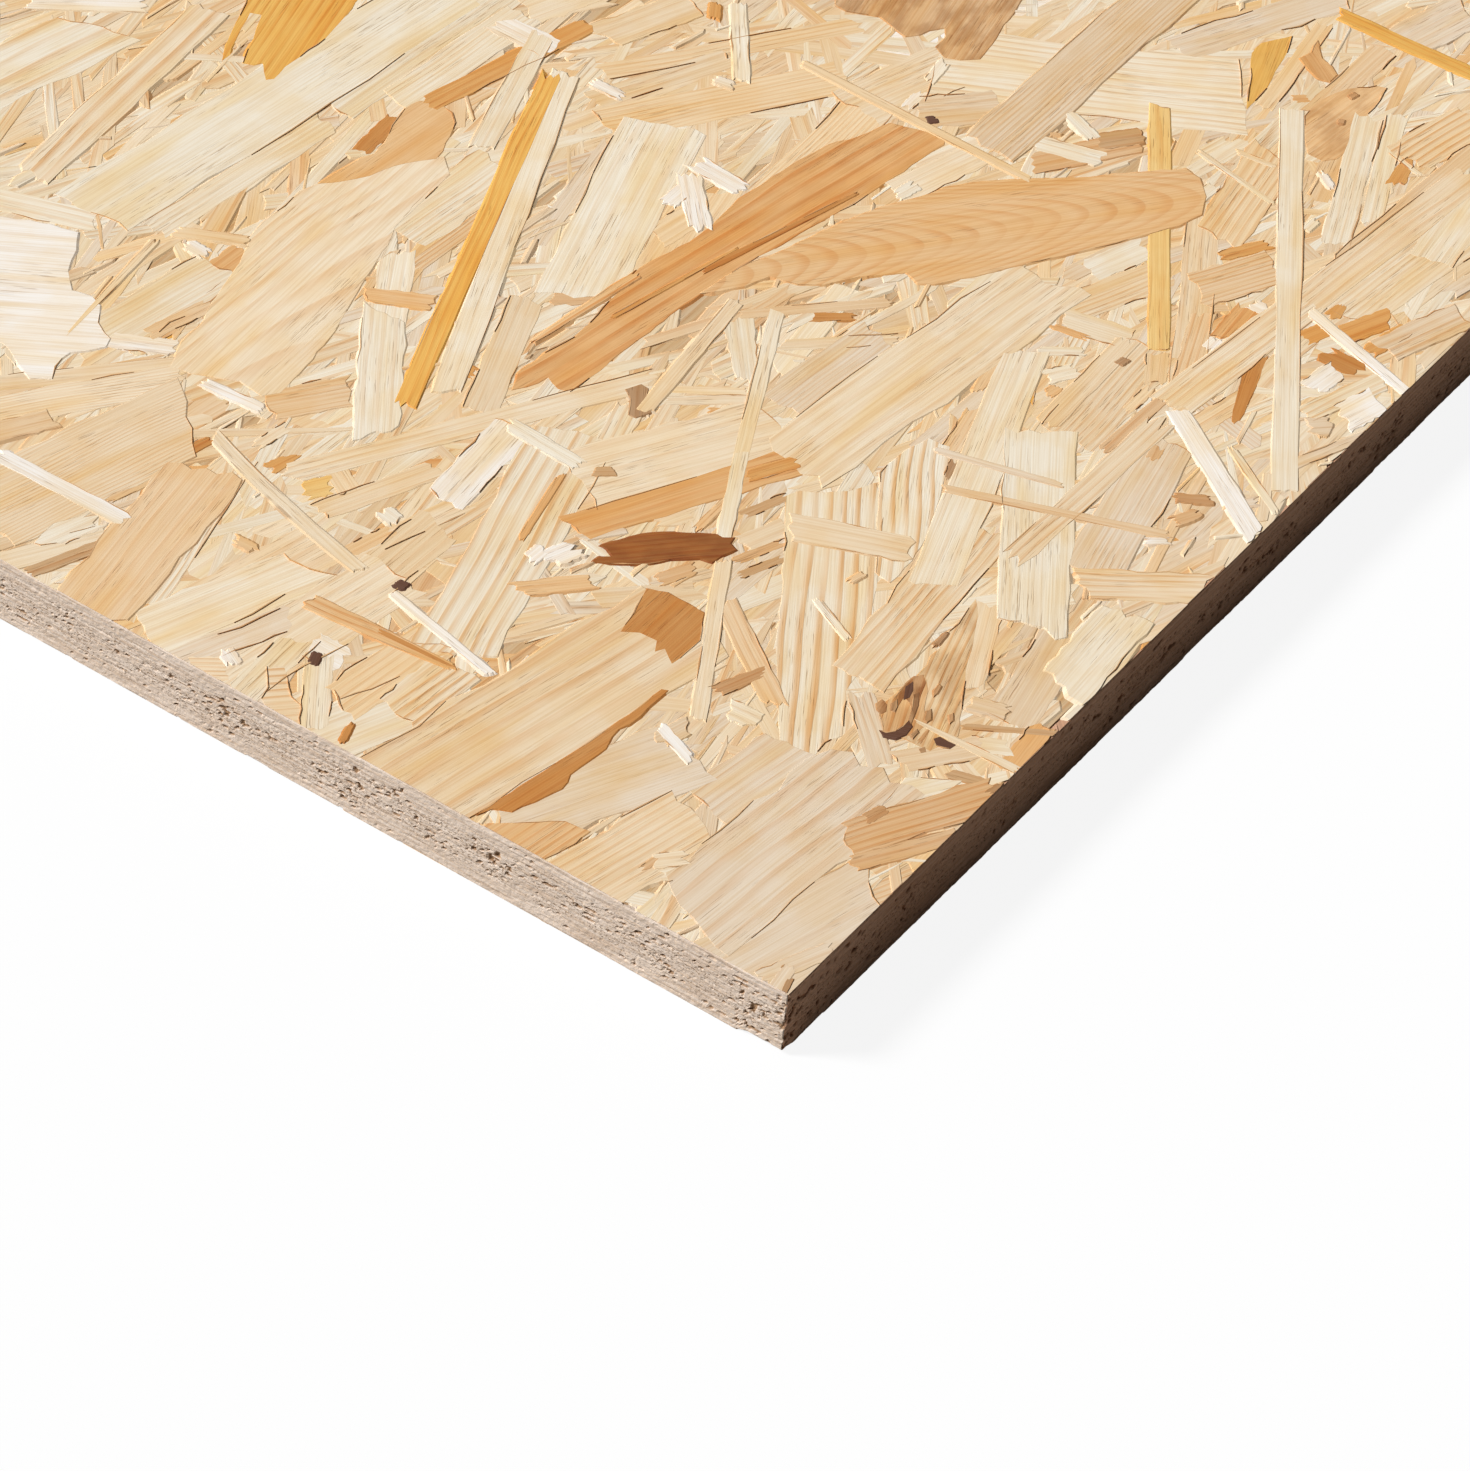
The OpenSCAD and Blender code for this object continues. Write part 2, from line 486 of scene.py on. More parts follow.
chip(
    corners=[(1300, 58), (1312, 52), (1318, 40), (1322, 58), (1332, 66), (1337, 74), (1330, 81),
             (1318, 78), (1308, 68)],
    lie=(20, 30), tone="caramel", over=1.2, contrast=0.2, mottle=0.25,
)
lay(start=(1292, 98), end=(1313, 97), wide=3, tone="caramel")
lay(start=(1400, 45), end=(1475, 5), wide=13, tone="pearl")
lay(start=(1335, 11), end=(1480, 77), wide=4.6, tone="amber", over=3, pitch=2, contrast=0.6)
lay(start=(1312, 115), end=(1388, 46), wide=7, tone="sand", pitch=1.5)
chip(
    corners=[(1305, 115), (1323, 98), (1347, 88), (1377, 85), (1387, 87), (1380, 100), (1368, 113),
             (1362, 123), (1352, 142), (1337, 158), (1323, 160), (1308, 153), (1305, 133)],
    lie=(50, -35), tone="tan", over=1, pitch=1.4, contrast=0.3, mottle=0.5,
)
lay(start=(1338, 121), end=(1345, 122), wide=1.6, tone="dusty", over=3, tear=0.4)
lay(start=(1350, 97), end=(1357, 93), wide=1.4, tone="dusty", over=3, tear=0.4)
lay(start=(1335, 245), end=(1370, 112), wide=7, tone="cream", pitch=2)
lay(start=(1370, 225), end=(1398, 112), wide=5, tone="ivory")
lay(start=(1392, 188), end=(1412, 155), wide=4.6, tone="toffee", taper=0.5)
lay(start=(1402, 160), end=(1485, 112), wide=12.5, tone="peach", pitch=2.1, contrast=0.95)
lay(start=(1390, 150), end=(1425, 178), wide=1.5, tone="cream")
lay(start=(1330, 320), end=(1480, 210), wide=18, tone="oat", pitch=1.5, contrast=0.4)
lay(start=(1430, 262), end=(1490, 180), wide=11, tone="cream")
lay(start=(1205, 205), end=(1185, 400), wide=8, tone="straw", pitch=3)
lay(start=(1215, 242), end=(1280, 145), wide=13, tone="peach", pitch=2.2, contrast=0.7)
lay(start=(1190, 292), end=(1282, 264), wide=12.5, tone="sand", pitch=1.5, contrast=0.75)
lay(start=(1218, 256), end=(1274, 242), wide=3.6, tone="toffee", contrast=0.6)
lay(start=(1340, 262), end=(1485, 142), wide=5.6, tone="sand", pitch=2)
lay(start=(1164, 412), end=(1475, 172), wide=9.6, tone="straw", over=2, pitch=2.4, contrast=0.5)
lay(start=(1195, 148), end=(1276, 205), wide=1.6, tone="cream", over=3)
lay(start=(1235, 150), end=(1278, 167), wide=1.6, tone="oat", over=3)
lay(start=(1193, 202), end=(1218, 182), wide=3.5, tone="cream")
lay(start=(1320, 170), end=(1334, 190), wide=2, tone="white")
lay(start=(1305, 230), end=(1318, 218), wide=2.2, tone="ivory")

# The strands at the near left, down to the sawn left edge
lay(start=(-30, 400), end=(150, 350), wide=14, tone="cream", over=0, pitch=2)
lay(start=(60, 470), end=(250, 350), wide=18, tone="sand", over=0, pitch=2)
lay(start=(-20, 600), end=(120, 520), wide=16, tone="ivory", over=0, pitch=2)
lay(start=(150, 620), end=(350, 480), wide=26, tone="cream", over=0, pitch=3)
lay(start=(230, 470), end=(370, 400), wide=18, tone="peach", over=0, pitch=2)
lay(start=(350, 470), end=(500, 380), wide=18, tone="oat", over=0, pitch=2)
lay(start=(-20, 384), end=(190, 363), wide=5.6, tone="straw")
lay(start=(103, 338), end=(180, 348), wide=5.6, tone="white")
lay(start=(145, 335), end=(215, 301), wide=4.4, tone="sand")
lay(start=(-30, 415), end=(190, 376), wide=10.5, tone="oat", pitch=0.9, contrast=0.5)
lay(start=(-30, 520), end=(215, 402), wide=25, tone="straw", over=2, pitch=1.0, contrast=0.55)
lay(start=(-20, 436), end=(60, 416), wide=6.5, tone="sand")
lay(start=(-10, 565), end=(115, 532), wide=7, tone="oat", contrast=0.15)
lay(start=(25, 573), end=(112, 540), wide=3.6, tone="drab", contrast=0.6)
lay(start=(28, 545), end=(105, 512), wide=8, tone="ivory", tear=5)
lay(start=(-5, 452), end=(128, 521), wide=4.5, tone="white", over=3, contrast=0.1)
lay(start=(128, 482), end=(216, 436), wide=2.6, tone="rust", contrast=0.7)
lay(start=(105, 500), end=(172, 468), wide=2.6, tone="sand")
lay(start=(150, 606), end=(250, 455), wide=4.8, tone="cream", pitch=1.2, contrast=0.7)
lay(start=(80, 622), end=(212, 462), wide=18.5, tone="sand", over=2, pitch=3, contrast=0.35)
lay(start=(198, 379), end=(264, 409), wide=3.2, tone="white", over=3)
lay(start=(265, 470), end=(300, 452), wide=4.2, tone="toffee", taper=0.6)
lay(start=(253, 447), end=(290, 424), wide=3, tone="oat")
lay(start=(170, 625), end=(335, 535), wide=15.5, tone="straw", pitch=4, contrast=0.3)
lay(start=(232, 537), end=(258, 550), wide=3, tone="sand")
lay(start=(212, 432), end=(362, 570), wide=3.7, tone="oat", over=3, contrast=0.05, bow=-1.2, tear=0.8)
lay(start=(262, 406), end=(360, 388), wide=10.5, tone="sand", pitch=1.6, contrast=0.5)
lay(start=(385, 302), end=(375, 442), wide=10.5, tone="ivory", pitch=3)
lay(start=(452, 362), end=(478, 374), wide=4, tone="toffee")
lay(start=(528, 295), end=(478, 414), wide=8.4, tone="straw", pitch=2)
lay(start=(280, 475), end=(660, 376), wide=6.8, tone="oat", over=2, pitch=2, contrast=0.4, tear=4)
lay(start=(315, 512), end=(448, 464), wide=6.3, tone="straw", pitch=1.4)
lay(start=(330, 460), end=(352, 494), wide=5.6, tone="peach")
lay(start=(300, 491), end=(338, 482), wide=6.4, tone="honey")
lay(start=(345, 556), end=(472, 498), wide=5.8, tone="straw")
lay(start=(440, 505), end=(520, 420), wide=10, tone="white", over=2, contrast=0.15)
lay(start=(345, 600), end=(445, 518), wide=12.5, tone="peach")
lay(start=(380, 508), end=(399, 522), wide=4.4, tone="ivory")
lay(start=(632, 404), end=(596, 468), wide=7, tone="cream", pitch=2, contrast=0.6)
lay(start=(450, 655), end=(580, 425), wide=19, tone="cream", over=2, pitch=3, contrast=0.95)
lay(start=(563, 472), end=(520, 540), wide=1.6, tone="caramel", over=3)
lay(start=(505, 421), end=(582, 466), wide=4.4, tone="ivory", over=3, contrast=0.1)
lay(start=(540, 562), end=(586, 544), wide=6, tone="white", over=3, tear=4)
lay(start=(526, 562), end=(546, 546), wide=4, tone="white", over=3)
lay(start=(345, 553), end=(395, 527), wide=4, tone="sand")
lay(start=(396, 582), end=(407, 587), wide=2.4, tone="knot", over=3, tear=0.4)
lay(start=(508, 590), end=(602, 580), wide=4.8, tone="tan", over=3)

# The strands in the middle of the photograph
lay(start=(560, 520), end=(760, 400), wide=26, tone="peach", over=0, pitch=3)
lay(start=(700, 480), end=(830, 330), wide=22, tone="oat", over=0, pitch=2)
lay(start=(860, 640), end=(1000, 470), wide=24, tone="cream", over=0, pitch=2)
lay(start=(990, 420), end=(1110, 300), wide=20, tone="sand", over=0, pitch=2)
lay(start=(1060, 560), end=(1190, 430), wide=24, tone="ivory", over=0, pitch=1.5)
lay(start=(660, 400), end=(755, 398), wide=3.2, tone="oat")
lay(start=(664, 388), end=(752, 391), wide=2.6, tone="oat")
lay(start=(575, 482), end=(785, 424), wide=21, tone="oat", over=2, pitch=4, contrast=0.25)
lay(start=(705, 410), end=(742, 412), wide=2.6, tone="caramel")
lay(start=(592, 471), end=(617, 471), wide=2.8, tone="drab", over=3, tear=0.4)
chip(
    corners=[(641, 384), (648, 388), (645, 400), (651, 412), (636, 417), (629, 414), (631, 398),
             (626, 389)],
    lie=(-2, 30), tone="umber",
)
lay(start=(738, 314), end=(748, 385), wide=7.4, tone="cream", taper=0.4)
lay(start=(805, 316), end=(860, 316), wide=3.6, tone="rust", taper=0.4)
lay(start=(735, 314), end=(895, 301), wide=3.2, tone="sand", over=3)
lay(start=(775, 345), end=(900, 338), wide=4, tone="straw")
lay(start=(752, 424), end=(828, 430), wide=6.8, tone="ivory", tear=5, contrast=0.1)
lay(start=(782, 414), end=(892, 336), wide=16.5, tone="pearl", pitch=1.2, contrast=0.5)
lay(start=(740, 297), end=(642, 413), wide=3.8, tone="straw", over=3, contrast=0.2)
lay(start=(543, 292), end=(604, 290), wide=9, tone="nut", tear=6)
lay(start=(562, 531), end=(815, 454), wide=9.4, tone="caramel", over=2, pitch=2.2, contrast=0.7)
lay(start=(740, 478), end=(800, 460), wide=4, tone="toffee", over=3, contrast=0.6)
lay(start=(650, 524), end=(702, 506), wide=6, tone="oat", tear=5)
lay(start=(738, 545), end=(790, 524), wide=6, tone="straw")
lay(start=(738, 516), end=(790, 494), wide=2.8, tone="drab", pitch=1)
lay(start=(730, 562), end=(786, 540), wide=2.6, tone="nut", pitch=1)
lay(start=(736, 576), end=(786, 556), wide=2.4, tone="drab", pitch=1)
lay(start=(695, 530), end=(732, 494), wide=2.2, tone="tan")
lay(start=(785, 470), end=(1060, 272), wide=21, tone="oat", over=2, pitch=3.4, contrast=0.4, tear=4)
lay(start=(1002, 350), end=(976, 392), wide=3.4, tone="sand", taper=0.3)
lay(start=(982, 402), end=(948, 456), wide=5.2, tone="sand", pitch=1.5)
lay(start=(956, 458), end=(944, 482), wide=2.4, tone="umber", taper=0.5)
chip(
    corners=[(786, 495), (800, 490), (826, 492), (850, 490), (876, 482), (884, 500), (880, 560),
             (872, 620), (862, 668), (846, 690), (842, 735), (824, 742), (812, 760), (796, 774),
             (786, 768), (780, 740), (778, 690), (776, 640), (782, 600), (784, 550)],
    lie=(-12, 135), tone="cream", over=1, pitch=3.5, contrast=1.15,
)
lay(start=(785, 525), end=(915, 550), wide=9, tone="straw", over=2, pitch=2)
lay(start=(848, 582), end=(866, 572), wide=1.8, tone="sand")
chip(
    corners=[(880, 472), (905, 450), (930, 438), (950, 446), (944, 480), (938, 502), (930, 530),
             (912, 560), (890, 582), (876, 572)],
    lie=(-14, 100), tone="ivory", over=1, pitch=2.7, contrast=1.1,
)
lay(start=(855, 682), end=(990, 520), wide=14, tone="straw", pitch=2.2, contrast=0.85)
lay(start=(1030, 345), end=(930, 590), wide=11, tone="cream", over=2, pitch=3.5, contrast=0.3)
lay(start=(1052, 314), end=(1136, 340), wide=8, tone="oat", contrast=0.1)
lay(start=(1050, 324), end=(1090, 338), wide=2, tone="caramel")
lay(start=(1036, 350), end=(1088, 351), wide=3, tone="cream")
lay(start=(1040, 378), end=(1080, 368), wide=5, tone="ivory", tear=4)
lay(start=(1045, 395), end=(1060, 385), wide=3, tone="tan")
lay(start=(1033, 374), end=(1027, 405), wide=2.4, tone="amber")
lay(start=(1065, 442), end=(1155, 345), wide=15, tone="straw", pitch=1.6, contrast=0.6)
lay(start=(1045, 425), end=(1132, 336), wide=5.6, tone="straw", pitch=2)
lay(start=(1118, 364), end=(1127, 358), wide=2, tone="umber", over=3, tear=0.3)
lay(start=(1158, 350), end=(1154, 388), wide=5.4, tone="peach")
lay(start=(1042, 418), end=(1032, 640), wide=16.5, tone="ivory", over=2, pitch=6, contrast=0.08, tear=5)
lay(start=(930, 448), end=(1066, 486), wide=2, tone="pearl", over=3)
lay(start=(1125, 412), end=(1152, 386), wide=2.8, tone="peach")
lay(start=(1100, 452), end=(1166, 396), wide=3, tone="nut", contrast=0.6)
lay(start=(1086, 578), end=(1170, 438), wide=14, tone="pearl", pitch=1.5, contrast=0.4)
lay(start=(1150, 462), end=(1160, 445), wide=3, tone="nut")
lay(start=(940, 487), end=(1174, 536), wide=2.6, tone="sand", over=3)
lay(start=(1168, 415), end=(1006, 566), wide=6.4, tone="straw", over=2, pitch=2, contrast=0.6, tear=6)
lay(start=(1144, 541), end=(1172, 540), wide=2.2, tone="white")
chip(
    corners=[(592, 561), (600, 556), (613, 556), (607, 548), (600, 545), (620, 540), (640, 534),
             (660, 532), (700, 533), (718, 534), (722, 537), (734, 537), (730, 543), (736, 549),
             (722, 555), (712, 562), (700, 558), (670, 559), (650, 563), (610, 563)],
    lie=(60, -5), tone="bark", over=4, pitch=1.6, contrast=0.8, mottle=0.5,
)
lay(start=(778, 308), end=(735, 480), wide=3.5, tone="cream", over=3, contrast=0.12, tear=0.5)
lay(start=(742, 450), end=(724, 538), wide=3.4, tone="ivory", over=3, contrast=0.12, tear=0.5)

# The strands along the sawn right edge
lay(start=(1170, 540), end=(1300, 420), wide=24, tone="pearl", over=0, pitch=1.5)
lay(start=(1290, 440), end=(1480, 300), wide=22, tone="cream", over=0, pitch=1.6)
lay(start=(1180, 480), end=(1290, 380), wide=20, tone="straw", over=0, pitch=1.5)
lay(start=(1120, 610), end=(1250, 540), wide=20, tone="pearl", over=0, pitch=2)
lay(start=(1205, 310), end=(1180, 392), wide=5.6, tone="sand", pitch=1.6, contrast=0.6)
lay(start=(1222, 342), end=(1256, 304), wide=7.6, tone="caramel", contrast=0.7)
lay(start=(1206, 350), end=(1220, 336), wide=3.6, tone="white")
lay(start=(1250, 302), end=(1270, 312), wide=4, tone="white")
lay(start=(1185, 432), end=(1248, 394), wide=5.6, tone="peach", contrast=0.5)
lay(start=(1260, 350), end=(1234, 424), wide=4.6, tone="rust", contrast=0.2, taper=0.6)
lay(start=(1166, 408), end=(1312, 296), wide=10.5, tone="oat", over=2, pitch=2, contrast=0.6)
lay(start=(1292, 108), end=(1285, 492), wide=6, tone="cream", over=3, pitch=8, contrast=0.1, tear=0.8)
lay(start=(1298, 340), end=(1332, 326), wide=5, tone="toffee", tear=4)
lay(start=(1338, 336), end=(1398, 314), wide=6.6, tone="toffee", contrast=0.7)
lay(start=(1368, 352), end=(1414, 324), wide=4.4, tone="toffee", contrast=0.6)
lay(start=(1318, 350), end=(1364, 372), wide=6.2, tone="rust", contrast=0.6, tear=5)
lay(start=(1330, 318), end=(1344, 303), wide=3.8, tone="toffee", taper=0.5)
lay(start=(1380, 352), end=(1470, 312), wide=9, tone="wheat", pitch=2.2, contrast=0.7)
lay(start=(1300, 416), end=(1388, 378), wide=6, tone="cream", pitch=1.6, contrast=0.7)
lay(start=(1308, 390), end=(1342, 366), wide=6.4, tone="white", contrast=0.1)
lay(start=(1336, 422), end=(1388, 394), wide=9, tone="white", contrast=0.1)
lay(start=(1303, 428), end=(1336, 426), wide=6.6, tone="wheat")
lay(start=(1308, 309), end=(1410, 394), wide=3, tone="white", over=3, contrast=0.08, tear=0.8)
lay(start=(1278, 470), end=(1392, 424), wide=3, tone="pearl")
lay(start=(1230, 505), end=(1262, 500), wide=3.4, tone="pearl")
lay(start=(1230, 445), end=(1279, 516), wide=1.9, tone="ivory", over=3)
lay(start=(1176, 408), end=(1260, 542), wide=5.4, tone="white", over=3, contrast=0.08, tear=0.8)
lay(start=(1170, 497), end=(1215, 500), wide=3, tone="dusty")
lay(start=(1172, 522), end=(1202, 512), wide=3.2, tone="nut")
lay(start=(1070, 582), end=(1218, 590), wide=10, tone="straw", pitch=2, contrast=0.7)

# The strands of the near corner
lay(start=(130, 640), end=(330, 560), wide=16, tone="cream", pitch=3, contrast=0.3)
lay(start=(190, 700), end=(400, 570), wide=18, tone="oat", pitch=3, contrast=0.3)
lay(start=(300, 745), end=(440, 690), wide=16, tone="cream", pitch=3)
lay(start=(600, 640), end=(720, 560), wide=22, tone="peach", over=0, pitch=2)
lay(start=(640, 740), end=(780, 640), wide=24, tone="pearl", over=0, pitch=2)
lay(start=(870, 740), end=(1010, 690), wide=26, tone="sand", over=0, pitch=2)
lay(start=(880, 860), end=(1000, 780), wide=20, tone="sand", over=0, pitch=2)
lay(start=(150, 670), end=(300, 612), wide=7.5, tone="pearl")
lay(start=(184, 668), end=(234, 668), wide=7.8, tone="straw", pitch=1.2, contrast=0.8)
lay(start=(222, 645), end=(236, 665), wide=3.6, tone="white")
lay(start=(235, 700), end=(305, 632), wide=8.4, tone="cream", contrast=0.2)
lay(start=(254, 698), end=(304, 695), wide=20, tone="straw", pitch=2.2, contrast=0.9, tear=3)
lay(start=(305, 640), end=(348, 662), wide=8.5, tone="white", contrast=0.1)
lay(start=(320, 648), end=(314, 730), wide=6.4, tone="ivory", contrast=0.2)
lay(start=(313, 664), end=(318, 652), wide=2, tone="knot", over=3, tear=0.4)
lay(start=(332, 708), end=(445, 632), wide=12.5, tone="peach", pitch=2, contrast=0.5)
lay(start=(385, 722), end=(466, 660), wide=12.5, tone="oat", pitch=2.3, contrast=0.95, tear=4)
lay(start=(425, 655), end=(498, 578), wide=11, tone="oat", pitch=2, contrast=0.95)
lay(start=(306, 599), end=(458, 669), wide=4.8, tone="tan", over=3, pitch=2, contrast=0.8, taper=0.6)
lay(start=(375, 628), end=(456, 668), wide=1.5, tone="rust", over=3, taper=0.6)
lay(start=(341, 744), end=(352, 722), wide=1.4, tone="rust", over=3)
lay(start=(370, 812), end=(695, 614), wide=29, tone="straw", over=2, pitch=5.5, contrast=0.6, tear=3)
lay(start=(392, 592), end=(492, 674), wide=2.3, tone="white", over=3, contrast=0.05, tear=0.5)
lay(start=(700, 812), end=(800, 742), wide=15, tone="pearl", pitch=2, contrast=0.5)
lay(start=(480, 824), end=(700, 748), wide=21, tone="pearl", pitch=8, contrast=0.1)
chip(
    corners=[(478, 814), (500, 799), (540, 774), (590, 741), (630, 714), (662, 689), (668, 690),
             (640, 716), (612, 736), (606, 748), (570, 774), (562, 788), (545, 796), (512, 811),
             (494, 808)],
    lie=(60, -38), tone="rust", over=3, contrast=0.25,
)
lay(start=(545, 905), end=(705, 812), wide=19, tone="straw", pitch=2, contrast=0.55)
chip(
    corners=[(470, 840), (486, 824), (565, 821), (590, 831), (575, 843), (545, 858), (520, 875)],
    lie=(60, -40), tone="tan", pitch=2, contrast=0.7,
)
lay(start=(640, 870), end=(664, 853), wide=1.8, tone="nut", over=3)
lay(start=(648, 862), end=(692, 856), wide=4.6, tone="oat", over=3, tear=4)
lay(start=(655, 876), end=(700, 868), wide=4, tone="cream")
chip(
    corners=[(647, 588), (668, 592), (690, 604), (704, 612), (700, 640), (686, 652), (672, 663),
             (665, 648), (655, 651), (657, 640), (640, 632), (621, 631), (630, 618), (637, 605)],
    lie=(50, -45), tone="rust", over=3, pitch=2, contrast=0.35,
)
lay(start=(655, 580), end=(700, 566), wide=4, tone="nut")
lay(start=(722, 595), end=(778, 708), wide=5.6, tone="sand", over=3, pitch=2, contrast=0.5)
lay(start=(712, 692), end=(770, 668), wide=3.8, tone="dusty", over=3, contrast=0.6, taper=0.3)
lay(start=(724, 705), end=(760, 722), wide=6, tone="cream")
lay(start=(656, 742), end=(694, 722), wide=5, tone="wheat")
lay(start=(656, 721), end=(694, 763), wide=2.8, tone="white", over=3, contrast=0.05)
lay(start=(724, 558), end=(698, 720), wide=3.6, tone="oat", over=3, contrast=0.12, tear=0.8)
lay(start=(860, 690), end=(882, 772), wide=6, tone="pearl", pitch=1.6, contrast=0.6)
lay(start=(815, 597), end=(851, 642), wide=1.8, tone="ivory", over=3)
chip(
    corners=[(976, 598), (978, 615), (968, 660), (962, 700), (958, 735), (930, 750), (905, 738),
             (885, 732), (878, 706), (905, 688), (920, 672), (945, 640)],
    lie=(-55, 110), tone="peach", pitch=2, contrast=0.8, mottle=0.45,
)
chip(
    corners=[(878, 706), (890, 698), (900, 690), (914, 678), (925, 674), (928, 690), (924, 708),
             (926, 724), (914, 734), (896, 736), (884, 732)],
    lie=(-10, 40), tone="tan", over=3, contrast=0.9, mottle=0.4,
)
chip(
    corners=[(923, 674), (926, 682), (921, 694), (918, 706), (914, 713), (910, 702), (904, 696),
             (899, 704), (896, 711), (891, 708), (893, 699), (901, 689), (908, 681), (915, 676)],
    lie=(-10, 40), tone="dusty", over=3.5, contrast=0.9, mottle=1.0,
)
chip(
    corners=[(906, 686), (913, 681), (913, 690), (909, 697), (904, 699)],
    lie=(-10, 40), tone="knot", over=3.7,
)
chip(
    corners=[(892, 703), (897, 699), (897, 706), (895, 711), (891, 709)],
    lie=(-10, 40), tone="umber", over=3.7,
)
chip(
    corners=[(914, 694), (919, 692), (918, 705), (914, 716), (911, 724), (908, 722), (912, 710)],
    lie=(-10, 40), tone="umber", over=3.7, mottle=1.0,
)
chip(
    corners=[(909, 720), (912, 726), (906, 734), (896, 738), (884, 736), (880, 730), (886, 732),
             (896, 731), (903, 726)],
    lie=(30, 5), tone="knot", over=3.7,
)
chip(
    corners=[(876, 703), (882, 699), (887, 704), (886, 711), (881, 713), (877, 709)],
    lie=(8, -10), tone="dusty", over=3.5, mottle=0.8,
)
chip(
    corners=[(934, 738), (940, 736), (947, 740), (956, 744), (950, 748), (943, 747), (937, 745)],
    lie=(24, 6), tone="knot", over=3,
)
chip(corners=[(919, 748), (925, 746), (926, 751), (921, 752)], lie=(10, -3), tone="umber", over=3)
chip(
    corners=[(927, 711), (931, 709), (931, 719), (927, 722), (925, 719)],
    lie=(-3, 10), tone="umber", over=3.5,
)
chip(
    corners=[(934, 690), (939, 684), (941, 686), (937, 693), (934, 696)],
    lie=(-5, 10), tone="dusty", over=3.5,
)
chip(corners=[(949, 715), (953, 713), (953, 720), (950, 723)], lie=(-3, 10), tone="dusty", over=3.5)
chip(corners=[(911, 734), (917, 729), (918, 732), (913, 738)], lie=(6, -6), tone="umber", over=3.7)
lay(start=(934, 646), end=(949, 631), wide=1.1, tone="umber", over=3, taper=0.6)
lay(start=(918, 743), end=(930, 727), wide=1.0, tone="dusty", over=3, taper=0.6)
lay(start=(992, 598), end=(968, 692), wide=6.4, tone="straw", pitch=3)
lay(start=(1068, 628), end=(1006, 728), wide=11.5, tone="wheat", pitch=2, contrast=0.2)
lay(start=(1134, 608), end=(1058, 694), wide=13, tone="cream", pitch=6, contrast=0.1, tear=3)
lay(start=(1046, 722), end=(1008, 772), wide=5.6, tone="caramel", contrast=0.15)
lay(start=(958, 725), end=(1064, 733), wide=1.8, tone="drab")
lay(start=(966, 702), end=(1012, 714), wide=5, tone="wheat")
lay(start=(968, 742), end=(1018, 748), wide=5, tone="cream")
lay(start=(890, 762), end=(990, 744), wide=7, tone="wheat")
lay(start=(945, 772), end=(992, 784), wide=3, tone="drab")
lay(start=(836, 842), end=(1004, 790), wide=10, tone="nut", over=3, pitch=1.8, contrast=0.8)
lay(start=(850, 864), end=(962, 834), wide=4.6, tone="nut", over=3, contrast=0.5)
lay(start=(862, 821), end=(889, 806), wide=3, tone="dusty", over=3)
lay(start=(985, 794), end=(1004, 783), wide=1.4, tone="umber", over=3)
chip(corners=[(882, 804), (906, 777), (962, 780), (932, 801)], lie=(60, -15), tone="ivory", contrast=0.1)
lay(start=(690, 1000), end=(900, 880), wide=24, tone="pearl", pitch=5, contrast=0.2)
lay(start=(670, 935), end=(886, 765), wide=26, tone="pearl", over=2, pitch=5, contrast=0.55, tear=4)
lay(start=(912, 718), end=(1022, 772), wide=2.6, tone="oat", over=3, contrast=0.1, taper=-0.7)
lay(start=(755, 980), end=(838, 946), wide=4.6, tone="pearl", over=3)
lay(start=(772, 992), end=(792, 964), wide=3, tone="pearl", over=3, tear=1)
lay(start=(784, 992), end=(791, 978), wide=1.2, tone="umber", over=3, tear=0.3)

cell = 2.5 * mm
cell_middle = 0.5
top_depth = 0.05 * mm
pressed_relief = 0.3 * mm
ground_depth = 0.36 * mm
ground_relief = 0.2 * mm
step_fading = 0.09


def pressed_flat(strands, from_depth, relief):
    """The strands under the flat press: each lies a step below the deepest one that crosses over it."""
    reach_x = int((panel_high.x - panel_low.x) / cell) + 1
    reach_y = int((panel_high.y - panel_low.y) / cell) + 1
    strands_above = np.zeros((reach_x, reach_y), int)
    corner = np.array([panel_low.x, panel_low.y])
    pressed = []
    for strand in reversed(strands):
        outline = (strand.points[:, :2] - corner) / cell
        low = np.floor(outline.min(0)).astype(int)
        high = np.ceil(outline.max(0)).astype(int)
        across, along = np.meshgrid(np.arange(low[0], high[0]), np.arange(low[1], high[1]))
        places = np.column_stack([across.ravel(), along.ravel()])
        covered = places[inside_outline(outline, places + cell_middle)]
        covered = np.vstack([covered, np.floor(outline).astype(int)])
        covered = np.clip(covered, 0, [reach_x - 1, reach_y - 1])
        steps = strands_above[covered[:, 0], covered[:, 1]].max()
        strands_above[covered[:, 0], covered[:, 1]] = steps + 1
        depth = from_depth + relief * (1 - math.exp(-steps * step_fading))
        pressed.append(strand._replace(depth=depth))
    return sorted(pressed, key=lambda strand: -strand.depth)


filler_over = 0.5
splinter_over = 0.7
placed += [(filler_over, strand) for strand in strewn_layer(filler_layer, saw_cuts, only_zone=photo_zone)]
placed += [(splinter_over, strand) for strand in strewn_layer(splinter_layer, saw_cuts, only_zone=photo_zone)]
placed.sort(key=lambda pair: pair[0])
upper_layers = [upper_layer, upper_layer, sliver_layer]
top_upper = [strand for over, strand in placed]
top_upper += [strand for layer in upper_layers for strand in strewn_layer(layer, saw_cuts, photo_zone)]
top_strands = pressed_flat(strewn_layer(ground_layer, saw_cuts), ground_depth, ground_relief)
top_strands += pressed_flat(top_upper, top_depth, pressed_relief)

